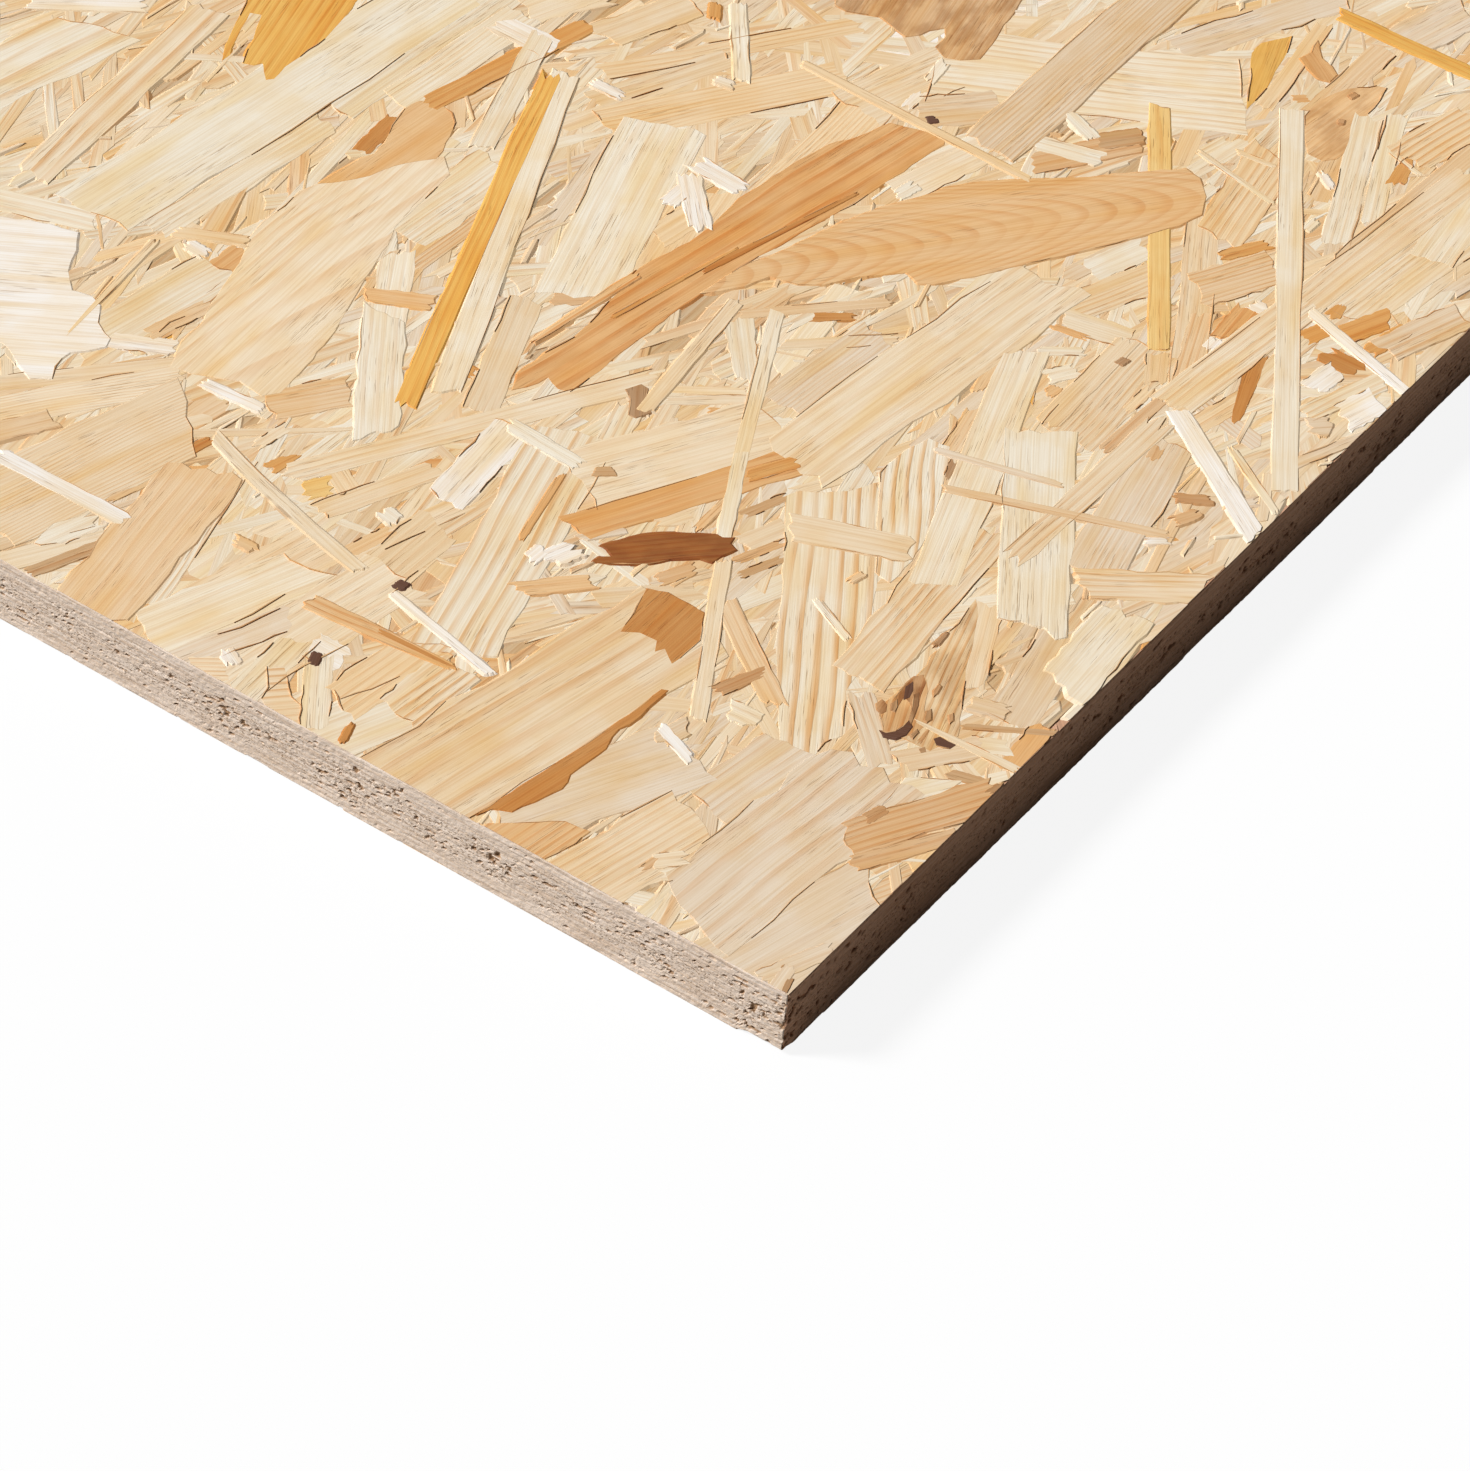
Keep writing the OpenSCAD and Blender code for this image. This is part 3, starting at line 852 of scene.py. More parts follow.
# The underside of the near corner has broken away
broken_corner = 12 * mm
broken_x = 0.6
broken_y = 0.8
broken_cut = (broken_x, broken_y, broken_x * panel_low.x + broken_y * panel_low.y + broken_y * broken_corner)
bottom_cuts = saw_cuts + [broken_cut]
bottom_upper = [strand for layer in upper_layers for strand in strewn_layer(layer, bottom_cuts)]
bottom_strands = pressed_flat(strewn_layer(ground_layer, bottom_cuts), ground_depth, ground_relief)
bottom_strands += pressed_flat(bottom_upper, top_depth, pressed_relief)

foot_from_saw = 1.0 * mm
least_step = 0.00025 * mm
least_turn = 0.001


def spread_out(plan, distance):
    """An outline moved outwards all round, as far as the saw has left room for it."""
    outward = np.zeros(plan.shape)
    for step in (plan - np.roll(plan, 1, 0), np.roll(plan, -1, 0) - plan):
        stride = np.hypot(*step.T)[:, None] + least_step
        outward += np.column_stack([step[:, 1], -step[:, 0]]) / stride
    outward /= np.hypot(*outward.T)[:, None] + least_turn
    sawn_low = np.array(panel_low[:2]) + foot_from_saw
    sawn_high = np.array(panel_high[:2]) - foot_from_saw
    return np.clip(plan + outward * distance, sawn_low, sawn_high)


mat_depth = 0.55 * mm
mat_colour = np.array((0.62, 0.46, 0.29))
mat_rings = (2.0, 0.6, 0.0, 0.5)
# The strands' sloped sides are darkened in colour, painted shade that strengthens the lines at their borders
side_painted_shade = np.array((0.96, 0.91, 0.85))


def pressed_tile(name, strands, top, low, high):
    """One mesh of closed strands on a slab of the pressed mat, listed from the inside outwards."""
    up = 1 if top else -1
    surface = panel_high.z if top else panel_low.z
    middle = (panel_high.z + panel_low.z) / 2
    slab = np.array([(low[0], low[1]), (high[0], low[1]), (high[0], high[1]), (low[0], high[1])])
    solids = [(slab, slab, slab, surface - up * mat_depth, middle, mat_colour, mat_rings, 0.0)]
    for strand in strands:
        plan = strand.points[:, :2]
        grain = strand.points[:, 2:]
        foot = spread_out(plan, strand.slope)
        outer = surface - up * strand.depth
        inner = outer - up * strand_thickness
        solids.append((plan, foot, grain, outer, inner, strand.colour, strand.rings, strand.mottle))
    vertices = []
    faces = []
    corner_grain = []
    corner_colour = []
    corner_rings = []
    corner_mottle = []
    for plan, foot, grain, outer, inner, colour, rings, mottle in solids:
        count = len(plan)
        first = len(vertices)
        vertices.extend((x, y, inner) for x, y in foot)
        vertices.extend((x, y, outer) for x, y in plan)
        inner_ring = list(range(count))
        outer_ring = list(range(count, 2 * count))
        new_faces = [inner_ring[::-1]]
        new_faces += [(i, (i + 1) % count, (i + 1) % count + count, i + count) for i in range(count)]
        new_faces += [outer_ring]
        if not top:
            new_faces = [face[::-1] for face in new_faces]
        tones = [colour] + [colour * side_painted_shade] * count + [colour]
        for face, tone in zip(new_faces, tones):
            faces.append([first + index for index in face])
            corner_grain.extend(grain[index % count] / mm for index in face)
            corner_colour.extend([(*tone, 1)] * len(face))
            corner_rings.extend([rings] * len(face))
            corner_mottle.extend([mottle] * len(face))
    mesh = bpy.data.meshes.new(name)
    mesh.from_pydata(vertices, [], faces)
    mesh.uv_layers.new(name="grain").data.foreach_set("uv", np.array(corner_grain, "f").ravel())
    tone = mesh.attributes.new("tone", "FLOAT_COLOR", "CORNER")
    tone.data.foreach_set("color", np.array(corner_colour, "f").ravel())
    ring = mesh.attributes.new("rings", "FLOAT_COLOR", "CORNER")
    ring.data.foreach_set("color", np.array(corner_rings, "f").ravel())
    mesh.attributes.new("mottle", "FLOAT", "CORNER").data.foreach_set("value", np.array(corner_mottle, "f"))
    corners = np.array(vertices)[np.concatenate(faces)][:, :2]
    spread = (corners - corners.min(0)) / np.ptp(corners, axis=0).max()
    mesh.uv_layers.new(name="OFBake").data.foreach_set("uv", spread.astype("f").ravel())
    piece = bpy.data.objects.new(name, mesh)
    bpy.context.scene.collection.objects.link(piece)
    return piece


def feed(tree, node, values):
    """Links or sets a node's inputs, which are given by name or number."""
    for socket, value in dict(values).items():
        if isinstance(value, bpy.types.NodeSocket):
            tree.links.new(value, node.inputs[socket])
        else:
            node.inputs[socket].default_value = value


def linked(tree, kind, values=(), **settings):
    """A new node with its settings made and its inputs fed."""
    node = tree.nodes.new(kind)
    for setting, value in settings.items():
        setattr(node, setting, value)
    feed(tree, node, values)
    return node


def reckon(tree, operation, *values):
    """The result of a Math node."""
    return linked(tree, "ShaderNodeMath", enumerate(values), operation=operation).outputs[0]


def streaks(tree, along, across, seed, length, width, detail=1.0):
    """Noise from 0 to 1 in streaks of about that length and width, in millimetres, along the grain."""
    place = linked(
        tree, "ShaderNodeCombineXYZ",
        {
            "X": reckon(tree, "DIVIDE", along, length),
            "Y": reckon(tree, "DIVIDE", across, width),
            "Z": seed,
        },
    ).outputs[0]
    texture = linked(tree, "ShaderNodeTexNoise", {"Vector": place, "Scale": 1.0, "Detail": detail})
    return texture.outputs["Fac"]


def ramp(tree, value, low, high, to_low=0.0, to_high=1.0):
    """A value eased from one range into another."""
    values = {"Value": value, "From Min": low, "From Max": high, "To Min": to_low, "To Max": to_high}
    return linked(tree, "ShaderNodeMapRange", values, interpolation_type="SMOOTHSTEP").outputs["Result"]


# A Mix node's colour sockets go by number, because its other kinds of sockets have the same names
mix_base = 6
mix_tint = 7
mix_result = 2


def tinted(tree, colour, tint, share):
    """A colour multiplied by a tint, by that share."""
    values = {"Factor": share, mix_base: colour, mix_tint: tint}
    mix = linked(tree, "ShaderNodeMix", values, data_type="RGBA", blend_type="MULTIPLY")
    return mix.outputs[mix_result]


def new_grain_group(name, inputs):
    """A node group with those inputs that puts out a surface's colour, roughness and height."""
    group = bpy.data.node_groups.new(name, "ShaderNodeTree")
    outputs = {"Color": "Color", "Roughness": "Float", "Height": "Float"}
    for way, sockets in (("INPUT", inputs), ("OUTPUT", outputs)):
        for socket, kind in sockets.items():
            group.interface.new_socket(socket, in_out=way, socket_type=f"NodeSocket{kind}")
    return group


def grained_material(name, group, specular, bump_strength, bump_distance):
    """A material that shows what a grain group puts out, and its group node, whose inputs are still open."""
    material = bpy.data.materials.new(name)
    material.use_nodes = True
    tree = material.node_tree
    grain = linked(tree, "ShaderNodeGroup", node_tree=group)
    bump = linked(
        tree, "ShaderNodeBump",
        {"Height": grain.outputs["Height"], "Strength": bump_strength, "Distance": bump_distance},
    )
    feed(
        tree, tree.nodes["Principled BSDF"],
        {
            "Base Color": grain.outputs["Color"],
            "Roughness": grain.outputs["Roughness"],
            "Normal": bump.outputs["Normal"],
            "Specular IOR Level": specular,
        },
    )
    return material, grain


latewood_tint = (0.86, 0.64, 0.44, 1)
fibre_tint = (0.86, 0.76, 0.62, 1)
crack_tint = (0.45, 0.30, 0.17, 1)
stain_tint = (0.97, 0.85, 0.63, 1)
mottle_tint = (0.55, 0.42, 0.31, 1)
glow_tint = (0.98, 0.91, 0.79, 1)
fibre_size = (24.0, 0.4)
fine_fibre_size = (8.0, 0.17)
crack_size = (7.0, 0.28)
crack_patch = (30.0, 9.0)
crack_share = 0.5
fading_size = (30.0, 6.0)
stain_size = (45.0, 7.0)
sway_size = (45.0, 22.0)
sway_reach = 5.0
noise_middle = 0.5
mottle_size = (9.0, 4.0)
glow_size = 14 * mm
arch_width = 12.0
arch_step = 0.04
seed_spread = 97.0
stain_seed_step = 9.0
fibre_height = 0.7
fine_fibre_height = 0.3
latewood_height = 0.5
crack_height = -1.0

grain_group = new_grain_group(
    "strand_grain",
    {
        "Grain": "Vector",
        "Tone": "Color",
        "Ring pitch": "Float",
        "Ring depth": "Float",
        "Flare": "Float",
        "Seed": "Float",
        "Mottle": "Float",
        "Place": "Vector",
    },
)
given = grain_group.nodes.new("NodeGroupInput").outputs
split = linked(grain_group, "ShaderNodeSeparateXYZ", {0: given["Grain"]})
along = split.outputs["X"]
across = split.outputs["Y"]
seed = reckon(grain_group, "MULTIPLY", given["Seed"], seed_spread)
sway = reckon(grain_group, "SUBTRACT", streaks(grain_group, along, across, seed, *sway_size), noise_middle)
swayed = reckon(grain_group, "MULTIPLY_ADD", sway, sway_reach, across)
straight_rings = reckon(grain_group, "DIVIDE", swayed, given["Ring pitch"])
bulge = reckon(grain_group, "POWER", reckon(grain_group, "DIVIDE", swayed, arch_width), 2.0)
arches = reckon(grain_group, "MULTIPLY_ADD", along, arch_step, bulge)
curved_rings = reckon(grain_group, "MULTIPLY_ADD", arches, given["Flare"], straight_rings)
ring = reckon(grain_group, "FRACT", reckon(grain_group, "ADD", curved_rings, seed))
latewood = reckon(
    grain_group, "MULTIPLY",
    ramp(grain_group, ring, low=0.4, high=0.88),
    ramp(grain_group, ring, low=1.0, high=0.93),
)
fading = streaks(grain_group, along, across, seed, *fading_size)
faded = ramp(grain_group, fading, low=0.3, high=0.6, to_low=0.35)
latewood_share = reckon(
    grain_group, "MULTIPLY", reckon(grain_group, "MULTIPLY", latewood, faded), given["Ring depth"]
)
fibre = streaks(grain_group, along, across, seed, *fibre_size, detail=2.0)
fine_fibre = streaks(grain_group, along, across, seed, *fine_fibre_size)
stain_seed = reckon(grain_group, "ADD", seed, stain_seed_step)
stain = streaks(grain_group, along, across, stain_seed, *stain_size, detail=2.0)
cracks = reckon(
    grain_group, "MULTIPLY",
    ramp(grain_group, streaks(grain_group, along, across, seed, *crack_size), low=0.62, high=0.72),
    ramp(grain_group, streaks(grain_group, along, across, seed, *crack_patch), low=0.44, high=0.62),
)
mottle = streaks(grain_group, along, across, seed, *mottle_size, detail=5.0)
mottle_share = reckon(
    grain_group, "MULTIPLY", ramp(grain_group, mottle, low=0.36, high=0.62), given["Mottle"]
)
glow = linked(
    grain_group, "ShaderNodeTexNoise", {"Vector": given["Place"], "Scale": 1 / glow_size, "Detail": 3.0}
)
colour = given["Tone"]
for tint, share in (
    (latewood_tint, latewood_share),
    (latewood_tint, reckon(grain_group, "SUBTRACT", latewood_share, 1.0)),
    (fibre_tint, ramp(grain_group, fibre, low=0.35, high=0.72, to_high=0.6)),
    (fibre_tint, ramp(grain_group, fine_fibre, low=0.35, high=0.75, to_high=0.2)),
    (stain_tint, ramp(grain_group, stain, low=0.45, high=0.72, to_high=0.85)),
    (crack_tint, reckon(grain_group, "MULTIPLY", cracks, crack_share)),
    (mottle_tint, mottle_share),
    (glow_tint, ramp(grain_group, glow.outputs["Fac"], low=0.4, high=0.66, to_high=0.75)),
):
    colour = tinted(grain_group, colour, tint, share)
relief = reckon(grain_group, "MULTIPLY", fibre, fibre_height)
relief = reckon(grain_group, "MULTIPLY_ADD", fine_fibre, fine_fibre_height, relief)
relief = reckon(grain_group, "MULTIPLY_ADD", latewood_share, latewood_height, relief)
relief = reckon(grain_group, "MULTIPLY_ADD", cracks, crack_height, relief)
roughness = ramp(grain_group, fibre, low=0.3, high=0.7, to_low=0.58, to_high=0.82)
linked(grain_group, "NodeGroupOutput", {"Color": colour, "Roughness": roughness, "Height": relief})

strand_material, strand_grain = grained_material(
    "raw_strands", grain_group, specular=0.3, bump_strength=0.6, bump_distance=0.08 * mm
)
strand_tree = strand_material.node_tree
strand_tone = linked(strand_tree, "ShaderNodeAttribute", attribute_name="tone")
strand_rings = linked(strand_tree, "ShaderNodeAttribute", attribute_name="rings")
strand_mottle = linked(strand_tree, "ShaderNodeAttribute", attribute_name="mottle")
ring_parts = linked(strand_tree, "ShaderNodeSeparateColor", {"Color": strand_rings.outputs["Color"]})
feed(
    strand_tree, strand_grain,
    {
        "Grain": linked(strand_tree, "ShaderNodeUVMap", uv_map="grain").outputs["UV"],
        "Tone": strand_tone.outputs["Color"],
        "Ring pitch": ring_parts.outputs["Red"],
        "Ring depth": ring_parts.outputs["Green"],
        "Flare": ring_parts.outputs["Blue"],
        "Seed": strand_rings.outputs["Alpha"],
        "Mottle": strand_mottle.outputs["Fac"],
        "Place": linked(strand_tree, "ShaderNodeNewGeometry").outputs["Position"],
    },
)

tiles_x = 4
tiles_y = 2
edge_depth = 2.5 * mm
panel_length = panel_high.x - panel_low.x
panel_width = panel_high.y - panel_low.y
borders_x = np.linspace(panel_low.x, panel_high.x, tiles_x + 1)
borders_y = np.linspace(panel_low.y, panel_high.y, tiles_y + 1)
borders_x[[0, -1]] += [edge_depth, -edge_depth]
borders_y[[0, -1]] += [edge_depth, -edge_depth]
for side, strands in (("top", top_strands), ("bottom", bottom_strands)):
    tiles = {}
    for strand in strands:
        middle = strand.points[:, :2].mean(0)
        column = min(int((middle[0] - panel_low.x) / panel_length * tiles_x), tiles_x - 1)
        row = min(int((middle[1] - panel_low.y) / panel_width * tiles_y), tiles_y - 1)
        tiles.setdefault((column, row), []).append(strand)
    for (column, row), tile in sorted(tiles.items()):
        low = (borders_x[column], borders_y[row])
        high = (borders_x[column + 1], borders_y[row + 1])
        piece = pressed_tile(f"{side}_strands_{column + 1}_{row + 1}", tile, side == "top", low, high)
        piece.data.materials.append(strand_material)
        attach(piece, "root")
        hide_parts("osb_panel")

# Sawn edges
# The pressed sheet is sawn to size, straight through its strands. The cut shows their ends and sides
# in thin layers, with open pits between the coarse strands of the core, and its arrises are worn.
edge_rows = 36
arris = 0.3 * mm
cut_tolerance = 0.01 * mm
near_wear = 1.1 * mm
far_wear = 0.4 * mm
least_wear = 0.25
wear_waves = 6
wear_seed_x = 3
wear_seed_y = 7
panel_thickness = panel_high.z - panel_low.z
Edge = namedtuple("Edge", "name corner run inward length near parts")
sawn_edges = [
    Edge("left", (panel_low.x, panel_low.y), (0, 1), (1, 0), panel_width, near=True, parts=2),
    Edge("front", (panel_low.x, panel_low.y), (1, 0), (0, 1), panel_length, near=True, parts=3),
    Edge("right", (panel_high.x, panel_low.y), (0, 1), (-1, 0), panel_width, near=False, parts=2),
    Edge("back", (panel_low.x, panel_high.y), (1, 0), (0, -1), panel_length, near=False, parts=3),
]


def cut_profile(edge, stations, strands):
    """How deep the outermost cut strand lies at each station along a sawn edge."""
    depth = np.full(len(stations), mat_depth)
    for strand in strands:
        from_corner = strand.points[:, :2] - edge.corner
        inward = from_corner @ edge.inward
        on_cut = inward < clear_of_saw + ragged_cut + cut_tolerance
        if not on_cut.any():
            continue
        place = (from_corner @ edge.run)[on_cut]
        under = (stations >= place.min()) & (stations <= place.max())
        depth[under] = np.minimum(depth[under], strand.depth)
    return depth


def worn_corner(corner):
    """How far each row of a corner of the panel is worn off, the same for both edges that meet there."""
    near = corner == (panel_low.x, panel_low.y)
    wear = near_wear if near else far_wear
    seed = corner[0] * wear_seed_x + corner[1] * wear_seed_y
    waves = [noise.noise(Vector((level, seed, 0))) for level in np.linspace(0, wear_waves, edge_rows + 1)]
    return wear * (least_wear + (1 - least_wear) * np.abs(waves))


fine_step = 0.5 * mm
fine_reach = 400 * mm
coarse_step = 3.5 * mm
corner_step = 0.6 * mm
arris_drop = 0.35 * mm
under_strands = 0.03 * mm
broken_rise = 1.3 * mm
broken_end = 3 * mm
broken_curve = 0.7
broken_share_of_front = 0.4
layer_size = (9 * mm, 0.9 * mm)
layer_relief = 0.28 * mm
saw_size = (1.1 * mm, 0.8 * mm)
saw_relief = 0.12 * mm
saw_middle = 0.6
clump_size = (9 * mm, 4 * mm)
clump_share = 0.5
pit_size = (1.5 * mm, 0.7 * mm)
pit_depth = 0.6 * mm
pit_share = 0.25
pit_threshold = 0.585
long_pit_threshold = 0.66
pit_free_layer = 2.2 * mm
pit_spread = 0.25
corner_looseness = 0.3
corner_loose_reach = 14 * mm
least_relief = 0.005 * mm
edge_seed_step = 11.3


def cut_noise(station, height, size, seed):
    """Noise about zero over a sawn edge, in patches of about that length and height."""
    return noise.noise(Vector((station / size[0], height / size[1], seed)))


def sawn_surface(edge):
    """The stations, heights, inward relief and pits of one sawn edge, from end to end."""
    fine_end = fine_reach if edge.near else 0
    stations = np.concatenate([
        np.arange(0, fine_end, fine_step),
        np.arange(fine_end, edge.length - 2 * corner_step, coarse_step),
        [corner_step, edge.length - corner_step, edge.length],
    ])
    stations = np.unique(np.round(stations, decimals=6))
    inner_rows = np.linspace(arris, panel_thickness - arris, edge_rows - 1) / panel_thickness
    share = np.concatenate([[0], inner_rows, [1]])
    upper = panel_high.z - cut_profile(edge, stations, top_strands) - under_strands
    lower = panel_low.z + cut_profile(edge, stations, bottom_strands) + under_strands
    if edge.near:
        reach = broken_corner if edge.name == "left" else broken_share_of_front * broken_corner
        broken_height = broken_rise * np.clip((reach - stations) / broken_end, 0, 1) ** broken_curve
        lower = np.maximum(lower, panel_low.z + broken_height)
    upper[[0, -1]] = panel_high.z - arris_drop
    lower[-1] = panel_low.z + arris_drop
    lower[0] = panel_low.z + (broken_rise if edge.near else arris_drop)
    heights = lower[:, None] + (upper - lower)[:, None] * share
    relief = np.zeros(heights.shape)
    pits = np.zeros(heights.shape)
    layer_seed = len(edge.name) * edge_seed_step
    saw_seed = layer_seed + 5
    clump_seed = layer_seed + 11
    pit_seed = layer_seed + 17
    open_from = pit_threshold if edge.run[1] else long_pit_threshold
    for i, station in enumerate(stations):
        loose = corner_looseness * math.exp(-station / corner_loose_reach) if edge.near else 0
        for j, height in enumerate(heights[i]):
            layered = cut_noise(station, height, layer_size, layer_seed)
            rough = cut_noise(station, height, saw_size, saw_seed)
            clump = cut_noise(station, height, clump_size, clump_seed)
            hollow = cut_noise(station, height, pit_size, pit_seed)
            core = 1 - abs(2 * (height - panel_low.z) / panel_thickness - 1)
            relief[i, j] = layer_relief * max(layered, 0) + saw_relief * (rough + saw_middle)
            openness = hollow + pit_share * core + clump_share * clump + loose
            pits[i, j] = (openness - open_from) / pit_spread
    from_faces = np.minimum(heights - panel_low.z, panel_high.z - heights)
    pits = np.clip(pits, 0, 1) * np.clip(from_faces / pit_free_layer, 0, 1) ** 2
    relief += pits * pit_depth
    relief = np.maximum(relief, least_relief)
    relief[:, [0, -1]] = np.maximum(relief[:, [0, -1]], arris)
    return stations, heights, relief, pits


under_mat = 0.9 * mm
bake_fold = 120 * mm
bake_margin = 0.05


def edge_piece(edge, surface, first, last, number):
    """One closed bar of a sawn edge between two stations, with its relief on the outer side."""
    stations, heights, relief, pits = (part[first:last + 1] for part in surface)
    run = np.array(edge.run)
    inward = np.array(edge.inward)
    place = np.repeat(stations[:, None], edge_rows + 1, 1)
    sunk = relief.copy()
    far_corner = tuple(np.array(edge.corner) + run * edge.length)
    if first == 0:
        wear = worn_corner(edge.corner)
        place[0] = wear
        sunk[0] = wear
    if last == len(surface[0]) - 1:
        wear = worn_corner(far_corner)
        place[-1] = edge.length - wear
        sunk[-1] = wear
    plan = np.array(edge.corner) + place[..., None] * run + sunk[..., None] * inward
    outer = np.concatenate([plan, heights[..., None]], 2)
    behind = edge_depth + stations * (1 - 2 * edge_depth / edge.length)
    back_plan = np.array(edge.corner) + behind[:, None] * run + edge_depth * inward
    back_low = np.column_stack([back_plan, np.full(len(stations), panel_low.z + under_mat)])
    back_high = np.column_stack([back_plan, np.full(len(stations), panel_high.z - under_mat)])
    rings = np.concatenate([back_low[:, None], outer, back_high[:, None]], 1)
    count, around = rings.shape[:2]
    index = np.arange(count * around).reshape(count, around)
    quads = np.stack([index[:-1], index[1:], np.roll(index[1:], -1, 1), np.roll(index[:-1], -1, 1)], -1)
    quads = quads.reshape(-1, 4)
    ends = [index[0], index[-1][::-1]]
    faces = [list(quad) for quad in quads] + [list(end) for end in ends]
    up = np.array([0, 0, 1])
    if np.cross([*run, 0], up) @ [*inward, 0] > 0:
        faces = [face[::-1] for face in faces]
    name = f"{edge.name}_edge_{number}"
    mesh = bpy.data.meshes.new(name)
    mesh.from_pydata(rings.reshape(-1, 3).tolist(), [], faces)
    corners = np.concatenate(faces)
    level = np.concatenate([heights[:, :1], heights, heights[:, -1:]], 1) - panel_low.z
    mesh_place = np.column_stack([np.repeat(stations, around), level.ravel()])[corners] / mm
    mesh.uv_layers.new(name="edge").data.foreach_set("uv", mesh_place.astype("f").ravel())
    pit = mesh.attributes.new("pit", "FLOAT", "POINT")
    pit.data.foreach_set("value", np.pad(pits, ((0, 0), (1, 1))).astype("f").ravel())
    folds = math.ceil((stations[-1] - stations[0]) / bake_fold)
    column_of = corners // around
    row_of = corners % around
    sizes = [len(face) for face in faces]
    starts = np.repeat(np.minimum.reduceat(column_of, np.cumsum([0] + sizes[:-1])), sizes)
    strip = np.floor((stations[starts] - stations[0]) / bake_fold)
    sideways = (stations[column_of] - stations[0] - strip * bake_fold) / (bake_fold + 2 * coarse_step)
    upward = (strip + bake_margin + (1 - 2 * bake_margin) * row_of / around) / max(folds, 1)
    baked = np.column_stack([np.clip(sideways, 0, 1), upward])
    mesh.uv_layers.new(name="OFBake").data.foreach_set("uv", baked.astype("f").ravel())
    piece = bpy.data.objects.new(name, mesh)
    bpy.context.scene.collection.objects.link(piece)
    return piece


# Fine specks, sunk by the bump and thickest in the core, are darkened as painted shade of tiny pits
speck_painted_shade = (0.46, 0.38, 0.30, 1)
layer_tint = (0.78, 0.70, 0.62, 1)
light_tint = (1.12, 1.08, 1.0, 1)
# Pits are darkened in colour by their depth, painted shade in the hollows on top of their real relief
pit_painted_shade = (0.50, 0.38, 0.27, 1)
half_thickness = panel_thickness / 2 / mm
skin_from = 0.75 * half_thickness
core_to = 0.35 * half_thickness
core_specks = 0.8
skin_specks = 0.16
speck_height = -1.0
layer_height = 0.5
bit_height = 0.7
edge_group = new_grain_group(
    "sawn_grain", {"Place": "Vector", "Pit": "Float", "Tone": "Color", "Streak length": "Float"}
)
given = edge_group.nodes.new("NodeGroupInput").outputs
split = linked(edge_group, "ShaderNodeSeparateXYZ", {0: given["Place"]})
along = split.outputs["X"]
height = split.outputs["Y"]
off_middle = reckon(edge_group, "ABSOLUTE", reckon(edge_group, "SUBTRACT", height, half_thickness))
core = ramp(edge_group, off_middle, low=skin_from, high=core_to)
layered = streaks(edge_group, along, height, seed=3.0, length=given["Streak length"], width=0.7, detail=2.0)
specks = streaks(edge_group, along, height, seed=7.0, length=0.75, width=0.4, detail=2.0)
clumps = streaks(edge_group, along, height, seed=11.0, length=7.0, width=3.0)
bits = streaks(edge_group, along, height, seed=17.0, length=0.9, width=0.45)
clumped_core = reckon(edge_group, "MULTIPLY", core, ramp(edge_group, clumps, low=0.3, high=0.6))
speck_share = reckon(
    edge_group, "MULTIPLY",
    ramp(edge_group, specks, low=0.52, high=0.66),
    reckon(edge_group, "MULTIPLY_ADD", clumped_core, core_specks, skin_specks),
)
colour = given["Tone"]
for tint, share in (
    (layer_tint, ramp(edge_group, layered, low=0.35, high=0.72, to_high=0.85)),
    (light_tint, ramp(edge_group, bits, low=0.52, high=0.68)),
    (speck_painted_shade, speck_share),
    (pit_painted_shade, ramp(edge_group, given["Pit"], low=0.05, high=0.6)),
):
    colour = tinted(edge_group, colour, tint, share)
relief = reckon(edge_group, "MULTIPLY", layered, layer_height)
relief = reckon(edge_group, "MULTIPLY_ADD", speck_share, speck_height, relief)
relief = reckon(edge_group, "MULTIPLY_ADD", bits, bit_height, relief)
roughness = ramp(edge_group, layered, low=0.3, high=0.7, to_low=0.74, to_high=0.92)
linked(edge_group, "NodeGroupOutput", {"Color": colour, "Roughness": roughness, "Height": relief})

# The near long edge has its deep shade painted into its tone, which browns it; the far one lies in the light
# and has the wood's own tone
edge_tones = {
    "across": {"tone": (0.69, 0.578, 0.488, 1), "streak": 14.0},
    "along_in_shade": {"tone": (0.56, 0.335, 0.22, 1), "streak": 32.0},
    "along_in_light": {"tone": (0.66, 0.53, 0.42, 1), "streak": 32.0},
}
edge_materials = {}
for way, look in edge_tones.items():
    material, sawn = grained_material(
        f"sawn_{way}", edge_group, specular=0.05, bump_strength=0.65, bump_distance=0.15 * mm
    )
    tree = material.node_tree
    feed(
        tree, sawn,
        {
            "Tone": look["tone"],
            "Streak length": look["streak"],
            "Place": linked(tree, "ShaderNodeUVMap", uv_map="edge").outputs["UV"],
            "Pit": linked(tree, "ShaderNodeAttribute", attribute_name="pit").outputs["Fac"],
        },
    )
    edge_materials[way] = material

for edge in sawn_edges:
    surface = sawn_surface(edge)
    seams = np.linspace(0, edge.length, edge.parts + 1)
    borders = np.searchsorted(surface[0], seams[1:-1])
    borders = [0, *borders, len(surface[0]) - 1]
    along_way = "along_in_shade" if edge.near else "along_in_light"
    way = "across" if edge.run[1] else along_way
    for number, (first, last) in enumerate(zip(borders[:-1], borders[1:]), 1):
        piece = edge_piece(edge, surface, first, last, number)
        piece.data.materials.append(edge_materials[way])
        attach(piece, "root")
        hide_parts("osb_panel")

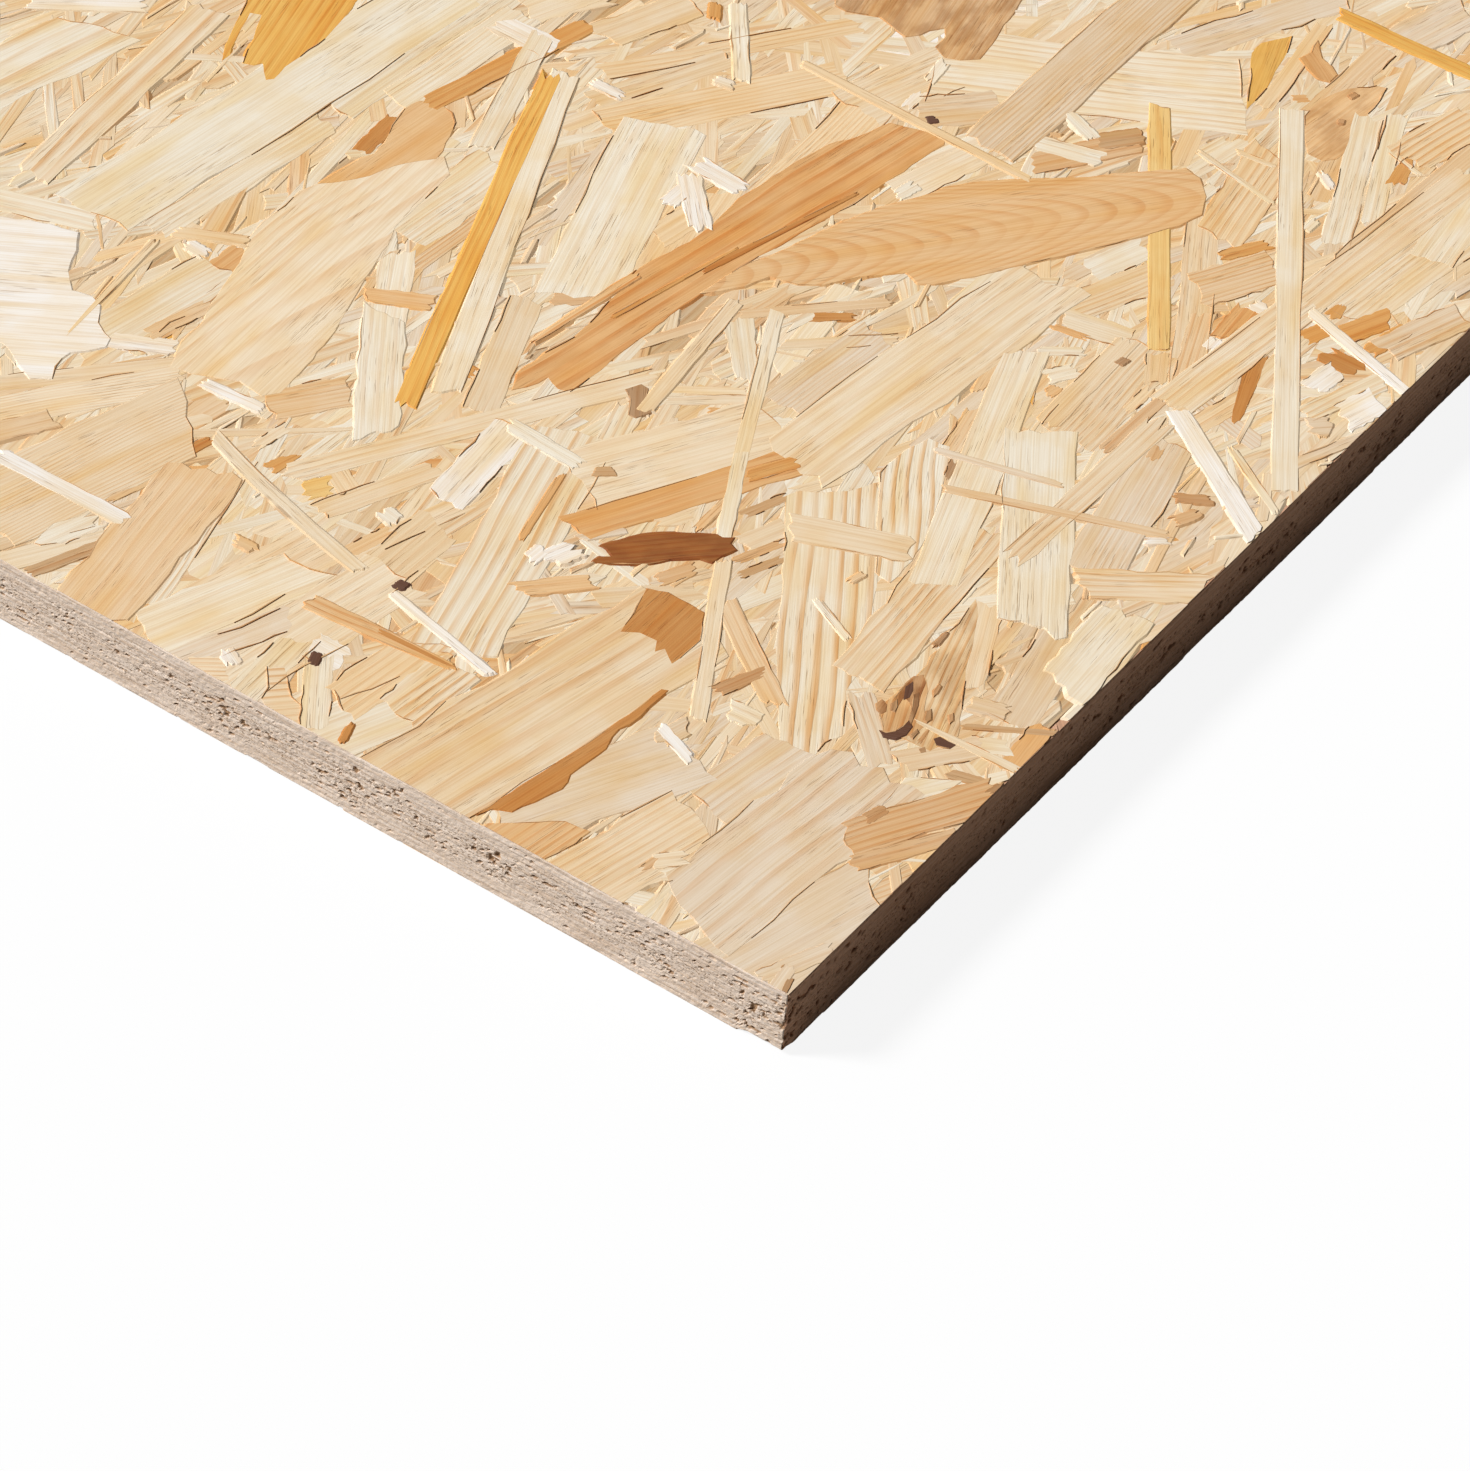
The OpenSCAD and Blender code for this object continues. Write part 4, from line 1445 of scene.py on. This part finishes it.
# Floor
# A plain sheet of white paper that reaches past the camera's view. The camera sees it lit white from
# below, as on a light table, with a part of the panel's own shadow; to all other rays it is pale grey.
floor_half = 12
floor_corners = [
    (-floor_half, -floor_half, 0),
    (floor_half, -floor_half, 0),
    (floor_half, floor_half, 0),
    (-floor_half, floor_half, 0),
]
paper_grey = (0.5, 0.49, 0.475, 1)
paper_white = (0.9, 0.9, 0.9, 1)
pure_white = (1, 1, 1, 1)
shadow_share = 0.1


def seen_directly(tree):
    """1 where the camera looks, also in a reflection or through glass, and 0 for all other rays."""
    rays = linked(tree, "ShaderNodeLightPath").outputs
    mirrored = reckon(tree, "MAXIMUM", rays["Is Glossy Ray"], rays["Is Transmission Ray"])
    return reckon(tree, "MAXIMUM", rays["Is Camera Ray"], mirrored)


def blended(tree, share, shader, other_shader):
    """Two shaders mixed, the second by that share."""
    values = {0: share, 1: shader.outputs[0], 2: other_shader.outputs[0]}
    return linked(tree, "ShaderNodeMixShader", values)


floor_mesh = bpy.data.meshes.new("floor")
floor_mesh.from_pydata(floor_corners, [], [(0, 1, 2, 3)])
floor = bpy.data.objects.new("floor", floor_mesh)
bpy.context.scene.collection.objects.link(floor)
floor.location.z = panel_low.z
floor_material = bpy.data.materials.new("white_paper")
floor_material.use_nodes = True
floor_tree = floor_material.node_tree
floor_tree.nodes.clear()
lit_paper = linked(floor_tree, "ShaderNodeEmission", {"Color": pure_white, "Strength": 1.0})
shaded_paper = linked(floor_tree, "ShaderNodeBsdfDiffuse", {"Color": paper_white})
grey_paper = linked(floor_tree, "ShaderNodeBsdfDiffuse", {"Color": paper_grey})
seen_paper = blended(floor_tree, shadow_share, lit_paper, shaded_paper)
paper = blended(floor_tree, seen_directly(floor_tree), grey_paper, seen_paper)
linked(floor_tree, "ShaderNodeOutputMaterial", {"Surface": paper.outputs[0]})
floor_mesh.materials.append(floor_material)

# Light
# One large lamp from the left and behind the panel, with the plain white studio around it for fill.
light_from = Vector((-0.45, 0.62, 0.64))
fill_strength = 0.025
sun_data = bpy.data.lights.new("key_light", "SUN")
sun_data.energy = 4.83
sun_data.angle = math.radians(14)
sun = bpy.data.objects.new("key_light", sun_data)
sun.rotation_euler = light_from.to_track_quat("Z", "Y").to_euler()
bpy.context.scene.collection.objects.link(sun)
world = bpy.data.worlds.new("studio")
bpy.context.scene.world = world
world.use_nodes = True
world_tree = world.node_tree
world_strength = linked(
    world_tree, "ShaderNodeMapRange",
    {"Value": seen_directly(world_tree), "To Min": fill_strength, "To Max": 1.0},
)
feed(
    world_tree, world_tree.nodes["Background"],
    {"Color": pure_white, "Strength": world_strength.outputs["Result"]},
)
bpy.context.scene.view_settings.view_transform = "Standard"
